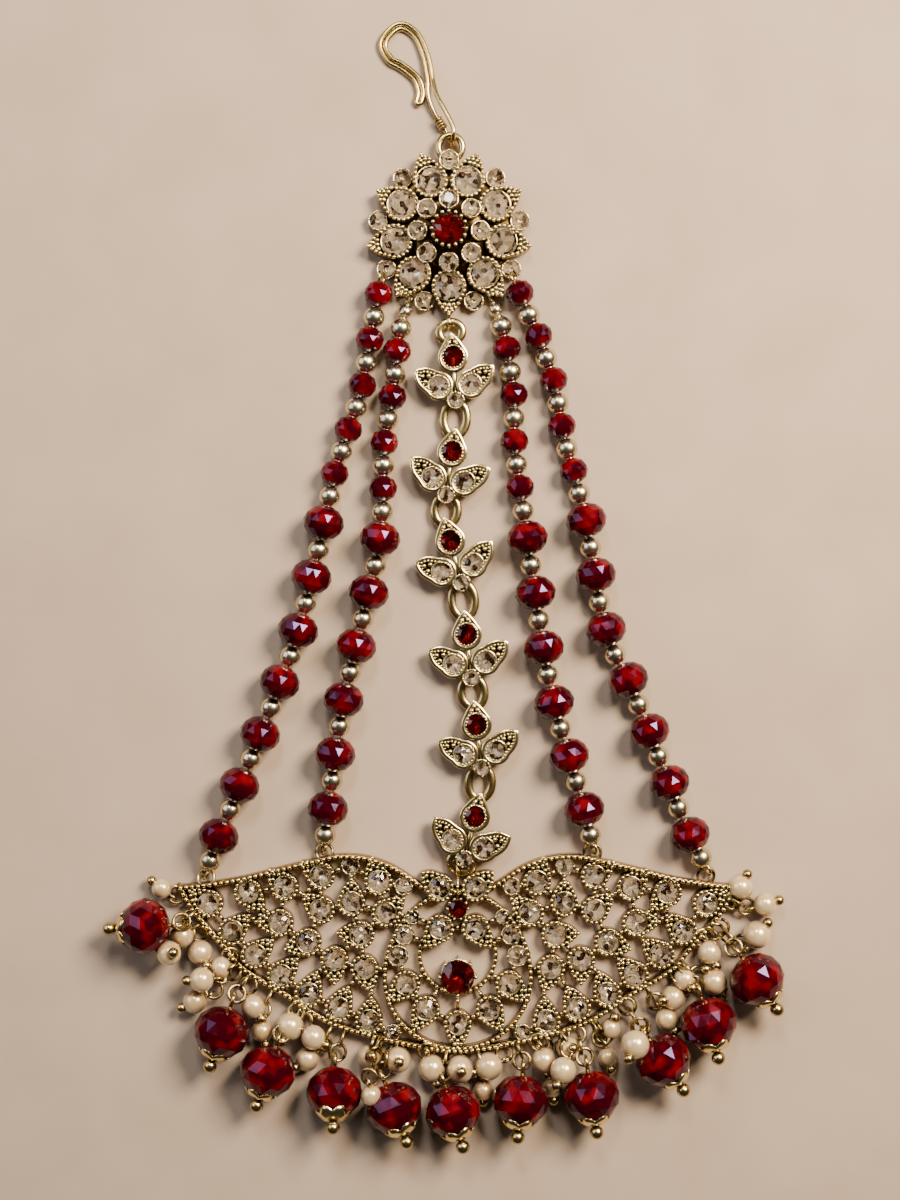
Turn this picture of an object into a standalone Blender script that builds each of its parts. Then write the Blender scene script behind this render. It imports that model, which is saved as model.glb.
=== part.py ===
"""A jhoomar, a side head ornament, lying face up.

A double-wire hook holds a domed rosette. Four bead strings and a chain of three-petal links fan out
from the rosette to a pierced crescent plate, whose lower rim carries red drops and cream pearls.

The origin is under the middle of the rosette, on the surface that the ornament lies on. +X is to the
wearer's right as seen, +Y is towards the hook, +Z is up through the stones. Lengths are in metres.
"""

import math

import bmesh
import bpy
from mathutils import Matrix, Vector

MM = 0.001

# Main spacing
PLATE_FALL = 89.5 * MM  # rosette centre to the line through the plate's tips
PLATE_SHIFT = 1.2 * MM  # the plate's middle lies this far to the right of the rosette
PLATE_HALF_SPAN = 39.0 * MM
PLATE_DEPTH = 23.0 * MM  # tip line down to the lowest point of the rim
LAYER_GAP = 0.3 * MM  # clearance between pieces that are not soldered

# Rosette
DOME_RADIUS = 8.9 * MM
DOME_HEIGHT = 2.3 * MM
DOME_SHOULDER = 5.5 * MM
DOME_EDGE = 0.8 * MM
COLLET_RADIUS = 2.4 * MM
COLLET_HEIGHT = 3.4 * MM
COLLET_EDGE = 0.2 * MM
PETAL_COUNT = 9
PETAL_RING_RADIUS = 7.4 * MM
PETAL_RADIUS = 2.45 * MM
PETAL_TIP = 4.2 * MM  # stone centre to the petal's point
PETAL_WALL = 1.9 * MM
OUTER_ROUND_RING_RADIUS = 9.9 * MM
OUTER_ROUND_RADIUS = 1.4 * MM
OUTER_ROUND_WALL = 1.3 * MM
INNER_ROUND_COUNT = 8
INNER_ROUND_RING_RADIUS = 4.05 * MM
INNER_ROUND_RADIUS = 1.4 * MM
INNER_ROUND_RISE = 0.9 * MM  # wall above the dome
ROSETTE_RUBY_RADIUS = 2.15 * MM
RUBY_HEIGHT = 1.6 * MM
BAIL_RADIUS = 1.65 * MM
BAIL_WIRE_RADIUS = 0.5 * MM
BAIL_HEIGHT = 1.3 * MM  # wire centre above the surface

# Hook
HOOK_WIRE_RADIUS = 0.3 * MM
HOOK_PAIR_SPACING = 0.72 * MM  # between the centres of the two wires

# Bead strings
SMALL_RED_DIAMETER = 3.9 * MM
SMALL_RED_LENGTH = 3.45 * MM
SMALL_RED_COUNT = 5
LARGE_RED_DIAMETER = 5.7 * MM
LARGE_RED_LENGTH = 4.65 * MM
METAL_BEAD_DIAMETER = 3.0 * MM
METAL_BEAD_LENGTH = 2.95 * MM
LEAD_BEAD_DIAMETER = 2.0 * MM  # the small bead at the head of an inner string
STRING_NECK_RADIUS = 0.5 * MM

# Centre chain
CHAIN_HEAD = 17.2 * MM  # rosette centre to the first link's red stone
LAST_LINK_GAP = 9.5 * MM  # the last link's red stone to the plate's tip line
LINK_COUNT = 6
LINK_PITCH = (PLATE_FALL - CHAIN_HEAD - LAST_LINK_GAP) / (LINK_COUNT - 1)
LINK_LIFT = 1.6 * MM  # underside of a link above the surface
LINK_WALL = 1.0 * MM
LINK_TOP_RADIUS = 2.1 * MM
LINK_TOP_TIP = 3.5 * MM
LINK_SIDE_RADIUS = 1.85 * MM
LINK_SIDE_TIP = 4.1 * MM
LINK_SIDE_ACROSS = 2.2 * MM
LINK_SIDE_DOWN = 3.8 * MM
LINK_SIDE_TURN = math.radians(35)
LINK_ROUND_RADIUS = 1.25 * MM
LINK_ROUND_DOWN = 5.9 * MM
EYE_RADIUS = 0.75 * MM
EYE_WIRE_RADIUS = 0.25 * MM
EYE_HEIGHT = 1.0 * MM
TOP_EYE_UP = 2.3 * MM
CONNECTOR_WIRE_RADIUS = 0.32 * MM
CONNECTOR_HALF_WIDTH = 1.75 * MM

# Crescent plate
RIM_WIDTH = 0.9 * MM
RIM_HEIGHT = 2.0 * MM
PEAR_RADIUS = 2.0 * MM
PEAR_TIP = 3.45 * MM
PEAR_WALL = 1.6 * MM
CROWN_HEIGHT = 0.8 * MM
CROWN_INSET = 0.85 * MM
FLOWER_PETAL_RADIUS = 1.65 * MM
FLOWER_PETAL_TIP = 3.3 * MM
FLOWER_WALL = 2.0 * MM
EGG_HALF_WIDTH = 0.2641 * PLATE_HALF_SPAN
EGG_UP = 0.5217 * PLATE_DEPTH  # above the ring's middle
EGG_DOWN = 0.4348 * PLATE_DEPTH
INNER_RING_RADIUS = 5.5 * MM
PLATE_RUBY_RADIUS = 2.3 * MM
FLOWER_RUBY_RADIUS = 1.25 * MM
PLATE_COLLET_HEIGHT = 1.2 * MM
BRIDGE_WIDTH = 0.7 * MM
BRIDGE_LOW = 0.35 * MM
BRIDGE_HIGH = 1.15 * MM
BRIDGE_REACH = -0.4 * MM  # joined settings whose gap is under this get a bar too
DEEP_OVERLAP = 1.2 * MM  # settings that overlap by more than this need no bar

# Drops and pearls
DROP_DIAMETER = 7.8 * MM
DROP_LENGTH = 6.4 * MM
DROP_PIN_RADIUS = 0.45 * MM
DROP_PIN_LENGTH = 0.9 * MM
DROP_CAP_RADIUS = 2.0 * MM
DROP_CAP_LENGTH = 0.9 * MM
DROP_BALL_RADIUS = 1.0 * MM
PEARL_NECK_RADIUS = 0.55 * MM

# Counts that set how round the pieces are
SIDES = 10
PEAR_ARC_POINTS = 7
SMALL_ROUND_SIDES = 8
HOOK_SAMPLES = 1

# Routes of the bead strings from the rosette to the rim, as (across, down) in shares of the plate's
# half span and of its fall
STRING_ROUTES = {
    "outer_left": (
        (-0.238, 0.076), (-0.249, 0.096), (-0.280, 0.167), (-0.304, 0.240), (-0.357, 0.305),
        (-0.406, 0.374), (-0.439, 0.449), (-0.528, 0.614), (-0.665, 0.773), (-0.812, 0.930),
        (-0.853, 0.977),
    ),
    "inner_left": (
        (-0.146, 0.110), (-0.170, 0.146), (-0.183, 0.182), (-0.196, 0.250), (-0.230, 0.320),
        (-0.231, 0.391), (-0.237, 0.470), (-0.325, 0.634), (-0.371, 0.715), (-0.399, 0.799),
        (-0.440, 0.938),
    ),
    "inner_right": (
        (0.155, 0.107), (0.186, 0.145), (0.203, 0.181), (0.231, 0.251), (0.226, 0.318),
        (0.249, 0.389), (0.273, 0.466), (0.329, 0.633), (0.364, 0.718), (0.476, 0.884),
        (0.505, 0.938),
    ),
    "outer_right": (
        (0.231, 0.076), (0.252, 0.097), (0.322, 0.166), (0.375, 0.235), (0.396, 0.303),
        (0.441, 0.370), (0.483, 0.445), (0.546, 0.614), (0.637, 0.691), (0.854, 0.935),
        (0.905, 0.971),
    ),
}
INNER_STRINGS = ("inner_left", "inner_right")

# Route of the folded hook wire from its closed end to the bail, and of its open end round the bail,
# as (across, up, height) in millimetres from the rosette's centre
HOOK_ROUTE = (
    (-4.2, 18.1, 0.5), (-3.9, 19.6, 0.4), (-4.6, 21.5, 0.4), (-6.5, 23.1, 0.4), (-8.2, 24.1, 0.4),
    (-9.1, 26.4, 0.4), (-6.9, 28.6, 0.4), (-4.6, 27.5, 0.4), (-3.2, 24.4, 0.5), (-2.6, 21.2, 0.8),
)
HOOK_LOOP = (
    (-1.7, 18.9, 1.5), (-0.6, 16.7, 2.1), (0.5, 14.4, 2.45), (0.6, 13.2, 2.45), (0.5, 12.25, 1.6),
    (0.35, 12.2, 0.8), (0.1, 13.0, 0.36), (-0.5, 14.2, 0.36), (-1.4, 15.6, 0.45), (-2.3, 17.2, 0.6),
    (-2.9, 19.0, 0.8),
)

# How each link lies: (across, along) as shares of the link pitch, and its turn in degrees
LINK_REST = (
    (0.044, 0.002, 3.7),
    (0.033, -0.030, -7.8),
    (0.014, 0.002, 15.2),
    (0.193, -0.017, 6.1),
    (0.300, 0.003, 7.0),
    (0.281, 0.003, -13.9),
)

# The plate's right-hand half, as (across, up) in shares of its half span and of its depth
RIM_TOP = (
    (1.0, 0.0), (0.878, 0.021), (0.75, 0.058), (0.628, 0.11), (0.497, 0.163), (0.41, 0.188),
    (0.32, 0.176), (0.234, 0.127), (0.165, 0.056), (0.10, -0.02),
)
RIM_BOTTOM = (
    (0.98, -0.03), (0.94, -0.149), (0.884, -0.268), (0.816, -0.397), (0.774, -0.49),
    (0.704, -0.571), (0.607, -0.667), (0.525, -0.762), (0.441, -0.838), (0.3435, -0.891),
    (0.177, -0.958), (0.0, -1.0),
)
# Pear settings of one wing: (across, up, turn of the point in degrees)
WING_PEARS = (
    (0.874, -0.107, 34), (0.738, -0.040, -133), (0.608, -0.009, 49), (0.481, 0.058, 37),
    (0.279, 0.024, 71), (0.793, -0.271, 137), (0.626, -0.221, 3), (0.481, -0.145, 42),
    (0.374, -0.101, 90), (0.254, -0.163, 142), (0.713, -0.4125, 140), (0.528, -0.336, -17),
    (0.342, -0.293, 5), (0.622, -0.533, 135), (0.433, -0.443, -90), (0.328, -0.493, -108),
    (0.525, -0.643, 112), (0.419, -0.729, 115), (0.312, -0.804, 96),
)
# Round settings of one half: (across, up, radius as a share of a pear's)
HALF_ROUNDS = (
    (0.189, -0.292, 0.72), (0.2105, -0.418, 0.78),
)
MEDALLION_PEARS = ((0.181, -0.5875, -42), (0.112, -0.738, -59))
MIDDLE_PEAR = (0.0, -0.824, -90)
FLOWER_PETALS = ((0.063, -0.009, 42), (0.0625, -0.25, -50))
PLATE_RUBY_UP = -0.539
FLOWER_RUBY_UP = -0.133
EGG_MIDDLE_UP = -0.548
INNER_RING_UP = -0.414
PLATE_EYE_UP = 2.0 * MM  # above the tip line

# Rings of a bead from end to end: (share of its length, share of its radius)
BEAD_RINGS = {
    "large": ((0.32, 1.0), (0.68, 1.0)),
    "small": ((0.5, 1.0),),
    "metal": ((0.5, 1.0),),
}
PEARL_RINGS = ((0.28, 0.92), (0.72, 0.92))

# Drops: (across, up) of the bead in shares of the plate's half span and depth, the direction of its
# ball end in degrees, and how far that end tilts up
DROPS = (
    (-1.089, -0.226, 183, 0), (-0.821, -0.845, 251, 4), (-0.661, -1.077, 252, 4),
    (-0.430, -1.202, 270, 33), (-0.222, -1.292, 292, 14), (-0.018, -1.315, 287, 14),
    (0.218, -1.250, 265, 12), (0.465, -1.224, 278, 8), (0.715, -1.012, 304, 4),
    (0.872, -0.792, 285, 10), (1.040, -0.536, 304, 4),
)
# Pearl clusters: one row of (across, up, height, radius) for each, the first pair in shares of the
# plate's half span and depth, the last pair in millimetres
PEARL_CLUSTERS = (
    ((-0.967, -0.292, 2.2, 1.65), (-0.903, -0.393, 2.0, 1.7), (-0.833, -0.488, 1.8, 1.6)),
    ((-0.718, -0.714, 1.9, 1.7), (-0.588, -0.833, 2.0, 1.9)),
    ((-0.091, -1.083, 1.9, 1.85), (0.007, -1.089, 1.9, 1.9), (0.109, -1.071, 1.9, 1.9)),
    ((0.303, -1.036, 1.8, 1.75), (0.391, -0.970, 1.8, 1.75)),
    ((0.735, -0.790, 1.8, 1.6), (0.756, -0.664, 1.8, 1.7), (0.797, -0.556, 1.8, 1.6)),
    ((1.079, -0.107, 1.9, 1.6), (1.050, -0.289, 2.0, 1.9)),
)


def material(name, colour, roughness, metallic):
    made = bpy.data.materials.new(name)
    made.use_nodes = True
    shader = made.node_tree.nodes["Principled BSDF"]
    shader.inputs["Base Color"].default_value = (*colour, 1.0)
    shader.inputs["Roughness"].default_value = roughness
    shader.inputs["Metallic"].default_value = metallic
    made.diffuse_color = (*colour, 1.0)
    return made


def place_object(name, data, collection, look):
    made = bpy.data.objects.new(name, data)
    collection.objects.link(made)
    data.materials.append(look)
    return made


def round_off(mesh, degrees=40):
    mesh.shade_smooth()
    mesh.set_sharp_from_angle(angle=math.radians(degrees))


def polar(radius, angle):
    return Vector((radius * math.cos(angle), radius * math.sin(angle)))


def circle(radius, count, middle=Vector((0, 0))):
    return [middle + polar(radius, math.tau * step / count) for step in range(count)]


def pear(radius, tip):
    """A round end about the origin and a point at +X, counterclockwise from the point."""
    spread = math.acos(radius / tip)
    swing = math.tau - 2 * spread
    arc = [
        polar(radius, spread + swing * step / (PEAR_ARC_POINTS - 1))
        for step in range(PEAR_ARC_POINTS)
    ]
    return [Vector((tip, 0))] + arc


def turned(points, middle, turn):
    spin = Matrix.Rotation(turn, 2)
    return [middle + spin @ point for point in points]


def extruded(bm, faces, height):
    """Closes a flat region into a solid of this height and gives back its upper faces."""
    made = bmesh.ops.extrude_face_region(bm, geom=faces)["geom"]
    rise = [item for item in made if isinstance(item, bmesh.types.BMVert)]
    bmesh.ops.translate(bm, verts=rise, vec=(0, 0, height))
    return [item for item in made if isinstance(item, bmesh.types.BMFace)]


def add_setting(bm, outline, low, wall_top, inset=CROWN_INSET, crown=CROWN_HEIGHT):
    """A walled setting filled by its stone: facets lean in above the wall to a flat table."""
    face = bm.faces.new([bm.verts.new((x, y, low)) for x, y in outline])
    top = extruded(bm, [face], wall_top - low)
    top[0].normal_update()
    bmesh.ops.inset_individual(bm, faces=top, thickness=inset, depth=crown, use_even_offset=True)


def add_band(bm, outline, width, low, high):
    """An upright flat band that follows a closed outline on its inner side."""
    face = bm.faces.new([bm.verts.new((x, y, low)) for x, y in outline])
    face.normal_update()
    rim = bmesh.ops.inset_individual(bm, faces=[face], thickness=width, use_even_offset=True)
    bmesh.ops.delete(bm, geom=[face], context="FACES_ONLY")
    extruded(bm, rim["faces"], high - low)


def add_bar(bm, start, end, width, low, high):
    along = end - start
    middle = (start + end) / 2
    matrix = (
        Matrix.Translation((middle.x, middle.y, (low + high) / 2))
        @ Matrix.Rotation(math.atan2(along.y, along.x), 4, "Z")
        @ Matrix.Diagonal((along.length, width, high - low, 1))
    )
    bmesh.ops.create_cube(bm, size=1, matrix=matrix)


def tube(points, radii, cyclic=False, resolution=1):
    """The mesh of a round wire through these points; its resolution gives 4 + 2 x that many sides."""
    curve = bpy.data.curves.new("wire", "CURVE")
    curve.dimensions = "3D"
    curve.bevel_depth = 1.0
    curve.bevel_resolution = resolution
    curve.use_fill_caps = not cyclic
    spline = curve.splines.new("POLY")
    spline.points.add(len(points) - 1)
    for knot, point, radius in zip(spline.points, points, radii):
        knot.co = (*point, 1)
        knot.radius = radius
    spline.use_cyclic_u = cyclic
    guide = bpy.data.objects.new("wire", curve)
    bpy.context.scene.collection.objects.link(guide)
    bpy.context.view_layer.update()
    graph = bpy.context.evaluated_depsgraph_get()
    mesh = bpy.data.meshes.new_from_object(guide.evaluated_get(graph))
    bpy.data.objects.remove(guide)
    bpy.data.curves.remove(curve)
    bm = bmesh.new()
    bm.from_mesh(mesh)
    bmesh.ops.remove_doubles(bm, verts=bm.verts, dist=1e-6)
    bm.to_mesh(mesh)
    bm.free()
    return mesh


def add_wire(bm, points, radius, cyclic=False):
    mesh = tube(points, [radius] * len(points), cyclic)
    bm.from_mesh(mesh)
    bpy.data.meshes.remove(mesh)


def add_eye(bm, middle, turn=0.0):
    """A small ring that stands on edge, so that a flat connector passes through it."""
    spin = Matrix.Rotation(turn, 3, "Z")
    points = [
        Vector((*middle, EYE_HEIGHT)) + spin @ Vector((0, spot.x, spot.y))
        for spot in circle(EYE_RADIUS, SIDES)
    ]
    add_wire(bm, points, EYE_WIRE_RADIUS, cyclic=True)


def turned_mesh(name, profile):
    """The outer side of a turned body, given from top to bottom, as a mesh for a Screw."""
    mesh = bpy.data.meshes.new(name)
    links = [(step, step + 1) for step in range(len(profile) - 1)]
    mesh.from_pydata([(radius, 0, height) for radius, height in profile], links, [])
    return mesh


def add_screw(target, sides=SIDES):
    screw = target.modifiers.new("turn", "SCREW")
    screw.axis = "Z"
    screw.steps = sides
    screw.render_steps = sides
    screw.use_merge_vertices = True
    screw.merge_threshold = 1e-5
    screw.use_smooth_shade = False


def mesh_from(name, bm):
    bmesh.ops.recalc_face_normals(bm, faces=bm.faces)
    mesh = bpy.data.meshes.new(name)
    bm.to_mesh(mesh)
    bm.free()
    return mesh


def fused(name, base, added, collections, look):
    """The base with everything in the second mesh soldered to it."""
    body = place_object(name, mesh_from(name, base), collections[0], look)
    tool_mesh = mesh_from(name + "_additions", added)
    tool = place_object(name + "_additions", tool_mesh, collections[1], look)
    tool.hide_render = True
    tool.display_type = "WIRE"
    union = body.modifiers.new("solder", "BOOLEAN")
    union.operation = "UNION"
    union.solver = "EXACT"
    union.object = tool
    union.use_self = True
    return body


def nearest_on(outline, spot):
    """The point of a closed outline that lies nearest to a spot."""
    best = None
    for start, end in zip(outline, outline[1:] + outline[:1]):
        along = end - start
        share = max(0.0, min(1.0, (spot - start).dot(along) / along.length_squared))
        found = start + along * share
        if best is None or (found - spot).length < (best - spot).length:
            best = found
    return best


def bridges(seats, bands, reach):
    """Bars between settings, and from settings to bands, that are close or would stay loose.

    A seat is its middle and its radius; a band is the closed outline of its outer side.
    """
    groups = list(range(len(seats) + len(bands)))

    def group_of(item):
        while groups[item] != item:
            item = groups[item]
        return item

    pairs = []
    for first, (spot, radius) in enumerate(seats):
        for second in range(first + 1, len(seats)):
            other, other_radius = seats[second]
            gap = (other - spot).length - radius - other_radius
            pairs.append((gap, first, second, spot, other))
        for number, outline in enumerate(bands):
            near = nearest_on(outline, spot)
            middle = sum(outline, Vector((0, 0))) / len(outline)
            inside = (middle - near).dot(spot - near) > 0
            gap = (near - spot).length - radius - (RIM_WIDTH if inside else 0)
            into_band = (middle - near).normalized() * RIM_WIDTH / 2
            pairs.append((gap, first, len(seats) + number, spot, near + into_band))
    bars = []
    for gap, first, second, start, end in sorted(pairs, key=lambda pair: pair[:3]):
        joined = group_of(first) == group_of(second)
        if joined and gap > reach:
            continue
        groups[group_of(first)] = group_of(second)
        if gap > -DEEP_OVERLAP:
            bars.append((start, end))
    return bars


def plate_point(across, up):
    return Vector((PLATE_SHIFT + across * PLATE_HALF_SPAN, -PLATE_FALL + up * PLATE_DEPTH))


def mirrored(rows):
    """Each row of the right-hand half and its mirror image."""
    for across, up, *rest in rows:
        yield across, up, rest, False
        yield -across, up, rest, True


def pear_seats(rows, radius, tip):
    for across, up, (degrees,), flipped in mirrored(rows):
        turn = math.radians(180 - degrees if flipped else degrees)
        middle = plate_point(across, up)
        yield middle, turned(pear(radius, tip), middle, turn)


def rim_outline():
    right = list(RIM_TOP[::-1]) + list(RIM_BOTTOM)
    left = [(-across, up) for across, up in reversed(right[:-1])]
    return [plate_point(across, up) for across, up in right + left][::-1]


def egg_outline(count=16):
    middle = plate_point(0, EGG_MIDDLE_UP)
    points = []
    for step in range(count):
        spot = polar(1.0, math.tau * step / count)
        reach = EGG_UP if spot.y > 0 else EGG_DOWN
        points.append(middle + Vector((spot.x * EGG_HALF_WIDTH, spot.y * reach)))
    return points


def build_plate(collections, look):
    base = bmesh.new()
    added = bmesh.new()
    outline = rim_outline()
    egg = egg_outline()
    ring = circle(INNER_RING_RADIUS, 12, plate_point(0, INNER_RING_UP))
    add_band(base, outline, RIM_WIDTH, 0, RIM_HEIGHT)
    add_band(added, egg, RIM_WIDTH, 0, RIM_HEIGHT - 0.1 * MM)
    add_band(added, ring, RIM_WIDTH, 0, PLATE_COLLET_HEIGHT)
    seats = []
    pears = list(pear_seats(WING_PEARS + MEDALLION_PEARS, PEAR_RADIUS, PEAR_TIP))
    middle = plate_point(*MIDDLE_PEAR[:2])
    pears.append((middle, turned(pear(PEAR_RADIUS, PEAR_TIP), middle, math.radians(MIDDLE_PEAR[2]))))
    for middle, points in pears:
        add_setting(added, points, 0, PEAR_WALL)
        seats.append((middle, PEAR_RADIUS))
    for middle, points in pear_seats(FLOWER_PETALS, FLOWER_PETAL_RADIUS, FLOWER_PETAL_TIP):
        add_setting(added, points, 0, FLOWER_WALL)
        seats.append((middle, FLOWER_PETAL_RADIUS))
    for across, up, (share,), _ in mirrored(HALF_ROUNDS):
        radius = share * PEAR_RADIUS
        middle = plate_point(across, up)
        points = circle(radius, SMALL_ROUND_SIDES, middle)
        add_setting(added, points, 0, PEAR_WALL, inset=radius * 0.4)
        seats.append((middle, radius))
    for up, radius in ((PLATE_RUBY_UP, PLATE_RUBY_RADIUS), (FLOWER_RUBY_UP, FLOWER_RUBY_RADIUS)):
        middle = plate_point(0, up)
        add_setting(added, circle(radius, SIDES, middle), 0, PLATE_COLLET_HEIGHT, COLLET_EDGE, 0)
        seats.append((middle, radius))
    for start, end in bridges(seats, (outline, egg, ring), BRIDGE_REACH):
        add_bar(added, start, end, BRIDGE_WIDTH, BRIDGE_LOW, BRIDGE_HIGH)
    eye = plate_point(0, 0) + Vector((0, PLATE_EYE_UP))
    add_eye(added, eye)
    seat = plate_point(0, FLOWER_RUBY_UP)
    add_bar(added, seat, eye - Vector((0, EYE_RADIUS)), BRIDGE_WIDTH, BRIDGE_LOW, BRIDGE_HIGH)
    fused("crescent_plate", base, added, collections, look)


def build_rosette(collections, look):
    base = bmesh.new()
    added = bmesh.new()
    dome = bpy.data.objects.new("dome", turned_mesh("dome", (
        (0, COLLET_HEIGHT),
        (COLLET_RADIUS, COLLET_HEIGHT),
        (COLLET_RADIUS + COLLET_EDGE, DOME_HEIGHT),
        (DOME_SHOULDER, DOME_HEIGHT * 0.95),
        (DOME_RADIUS, DOME_EDGE),
        (DOME_RADIUS, 0),
        (0, 0),
    )))
    bpy.context.scene.collection.objects.link(dome)
    add_screw(dome, 12)
    graph = bpy.context.evaluated_depsgraph_get()
    mesh = bpy.data.meshes.new_from_object(dome.evaluated_get(graph))
    base.from_mesh(mesh)
    bmesh.ops.remove_doubles(base, verts=base.verts, dist=1e-6)
    bpy.data.objects.remove(dome)
    bpy.data.meshes.remove(mesh)
    for step in range(PETAL_COUNT):
        turn = math.radians(-90) + math.tau * step / PETAL_COUNT
        middle = polar(PETAL_RING_RADIUS, turn)
        add_setting(added, turned(pear(PETAL_RADIUS, PETAL_TIP), middle, turn), 0, PETAL_WALL)
        turn += math.pi / PETAL_COUNT
        middle = polar(OUTER_ROUND_RING_RADIUS, turn)
        points = circle(OUTER_ROUND_RADIUS, SMALL_ROUND_SIDES, middle)
        add_setting(added, points, 0, OUTER_ROUND_WALL, inset=OUTER_ROUND_RADIUS * 0.4)
    for step in range(INNER_ROUND_COUNT):
        middle = polar(INNER_ROUND_RING_RADIUS, math.radians(90) + math.tau * step / INNER_ROUND_COUNT)
        points = circle(INNER_ROUND_RADIUS, SMALL_ROUND_SIDES, middle)
        high = DOME_HEIGHT + INNER_ROUND_RISE
        add_setting(added, points, DOME_HEIGHT * 0.5, high, inset=INNER_ROUND_RADIUS * 0.4)
    bail = Vector((0.2 * MM, OUTER_ROUND_RING_RADIUS + 1.85 * MM))
    points = [(*spot, BAIL_HEIGHT) for spot in circle(BAIL_RADIUS, SIDES, bail)]
    add_wire(added, points, BAIL_WIRE_RADIUS, cyclic=True)
    add_eye(added, rosette_eye())
    edge = rosette_eye() + Vector((0, EYE_RADIUS))
    inner = edge + Vector((0, PETAL_RADIUS))
    add_bar(added, inner, edge, BRIDGE_WIDTH, BRIDGE_LOW, BRIDGE_HIGH)
    fused("rosette", base, added, collections, look)


def rosette_eye():
    tip = PETAL_RING_RADIUS + PETAL_TIP
    return Vector((0, -tip - CONNECTOR_WIRE_RADIUS - LAYER_GAP))


def build_ruby(name, radius, middle, low, collection, look):
    """A faceted stone: flat table, leaning crown, upright girdle, tapered underside."""
    profile = (
        (0, RUBY_HEIGHT),
        (radius * 0.6, RUBY_HEIGHT),
        (radius, RUBY_HEIGHT * 0.62),
        (radius, RUBY_HEIGHT * 0.45),
        (radius * 0.45, 0),
        (0, 0),
    )
    stone = place_object(name, turned_mesh(name, profile), collection, look)
    add_screw(stone)
    stone.location = (*middle, low)


def smooth_route(route, samples):
    """A rounded path through the route's points."""
    ends = [2 * route[0] - route[1], *route, 2 * route[-1] - route[-2]]
    path = []
    for a, b, c, d in zip(ends, ends[1:], ends[2:], ends[3:]):
        for step in range(samples):
            share = step / samples
            square = share * share
            cube = square * share
            path.append(
                0.5 * (2 * b + (c - a) * share + (2 * a - 5 * b + 4 * c - d) * square
                       + (3 * b - a - 3 * c + d) * cube)
            )
    return path + [route[-1]]


def build_hook(collection, look):
    """Two wires side by side, joined by the fold at the tip and by the loop round the bail."""
    middle = smooth_route([Vector(point) * MM for point in HOOK_ROUTE], HOOK_SAMPLES)
    sides = ([], [])
    for number, point in enumerate(middle):
        before = middle[max(number - 1, 0)]
        after = middle[min(number + 1, len(middle) - 1)]
        along = (after - before).normalized()
        aside = Vector((along.y, -along.x, 0)).normalized() * HOOK_PAIR_SPACING / 2
        sides[0].append(point + aside)
        sides[1].append(point - aside)
    fold = middle[0] + (middle[0] - middle[1]).normalized() * HOOK_PAIR_SPACING * 0.6
    loop = [Vector(point) * MM for point in HOOK_LOOP]
    path = [fold] + sides[0] + loop + sides[1][::-1]
    mesh = tube(path, [HOOK_WIRE_RADIUS] * len(path), cyclic=True)
    round_off(mesh)
    place_object("hook", mesh, collection, look)


def route_lengths(route):
    lengths = [0.0]
    for start, end in zip(route, route[1:]):
        lengths.append(lengths[-1] + (end - start).length)
    return lengths


def along_route(route, lengths, distance):
    for number in range(1, len(route)):
        if distance <= lengths[number] or number == len(route) - 1:
            span = lengths[number] - lengths[number - 1]
            share = (distance - lengths[number - 1]) / span
            return route[number - 1].lerp(route[number], share)


def string_beads(length, lead):
    """(length, radius, kind) of each bead from the rosette to the rim."""
    metal = (METAL_BEAD_LENGTH, METAL_BEAD_DIAMETER / 2, "metal")
    small = (SMALL_RED_LENGTH, SMALL_RED_DIAMETER / 2, "small")
    large = (LARGE_RED_LENGTH, LARGE_RED_DIAMETER / 2, "large")
    beads = []
    reds = 0
    if lead:
        beads = [(LEAD_BEAD_DIAMETER, LEAD_BEAD_DIAMETER / 2, "metal"), metal]
        reds = 1
    used = sum(bead[0] for bead in beads)
    while True:
        red = small if reds < SMALL_RED_COUNT else large
        used += red[0] + metal[0]
        if used > length + METAL_BEAD_LENGTH / 2:
            return beads
        beads += [red, metal]
        reds += 1


def build_string(name, shares, collection, look):
    route = [
        Vector((across * PLATE_HALF_SPAN, -down * PLATE_FALL)) for across, down in shares
    ]
    lengths = route_lengths(route)
    beads = string_beads(lengths[-1], name in INNER_STRINGS)
    stretch = lengths[-1] / sum(bead[0] for bead in beads)
    points = []
    radii = []
    start = 0.0
    for length, radius, kind in beads:
        slack = length * (stretch - 1) / 2
        if not points:
            points.append((*along_route(route, lengths, slack), radius))
            radii.append(STRING_NECK_RADIUS)
        for share, wide in BEAD_RINGS[kind]:
            spot = along_route(route, lengths, start + slack + length * share)
            points.append((*spot, radius))
            radii.append(radius * wide)
        start += length * stretch
        points.append((*along_route(route, lengths, start), radius))
        radii.append(STRING_NECK_RADIUS)
    mesh = tube(points, radii, resolution=3)
    round_off(mesh, 20)
    place_object("bead_string_" + name, mesh, collection, look)


def link_frame(number):
    """Where a link's red stone is, and how the link is turned."""
    across, along, degrees = LINK_REST[number]
    middle = Vector((across * LINK_PITCH, -CHAIN_HEAD - (number - along) * LINK_PITCH))
    return middle, math.radians(degrees)


def link_point(number, spot):
    middle, turn = link_frame(number)
    return turned([Vector(spot)], middle, turn)[0]


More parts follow.
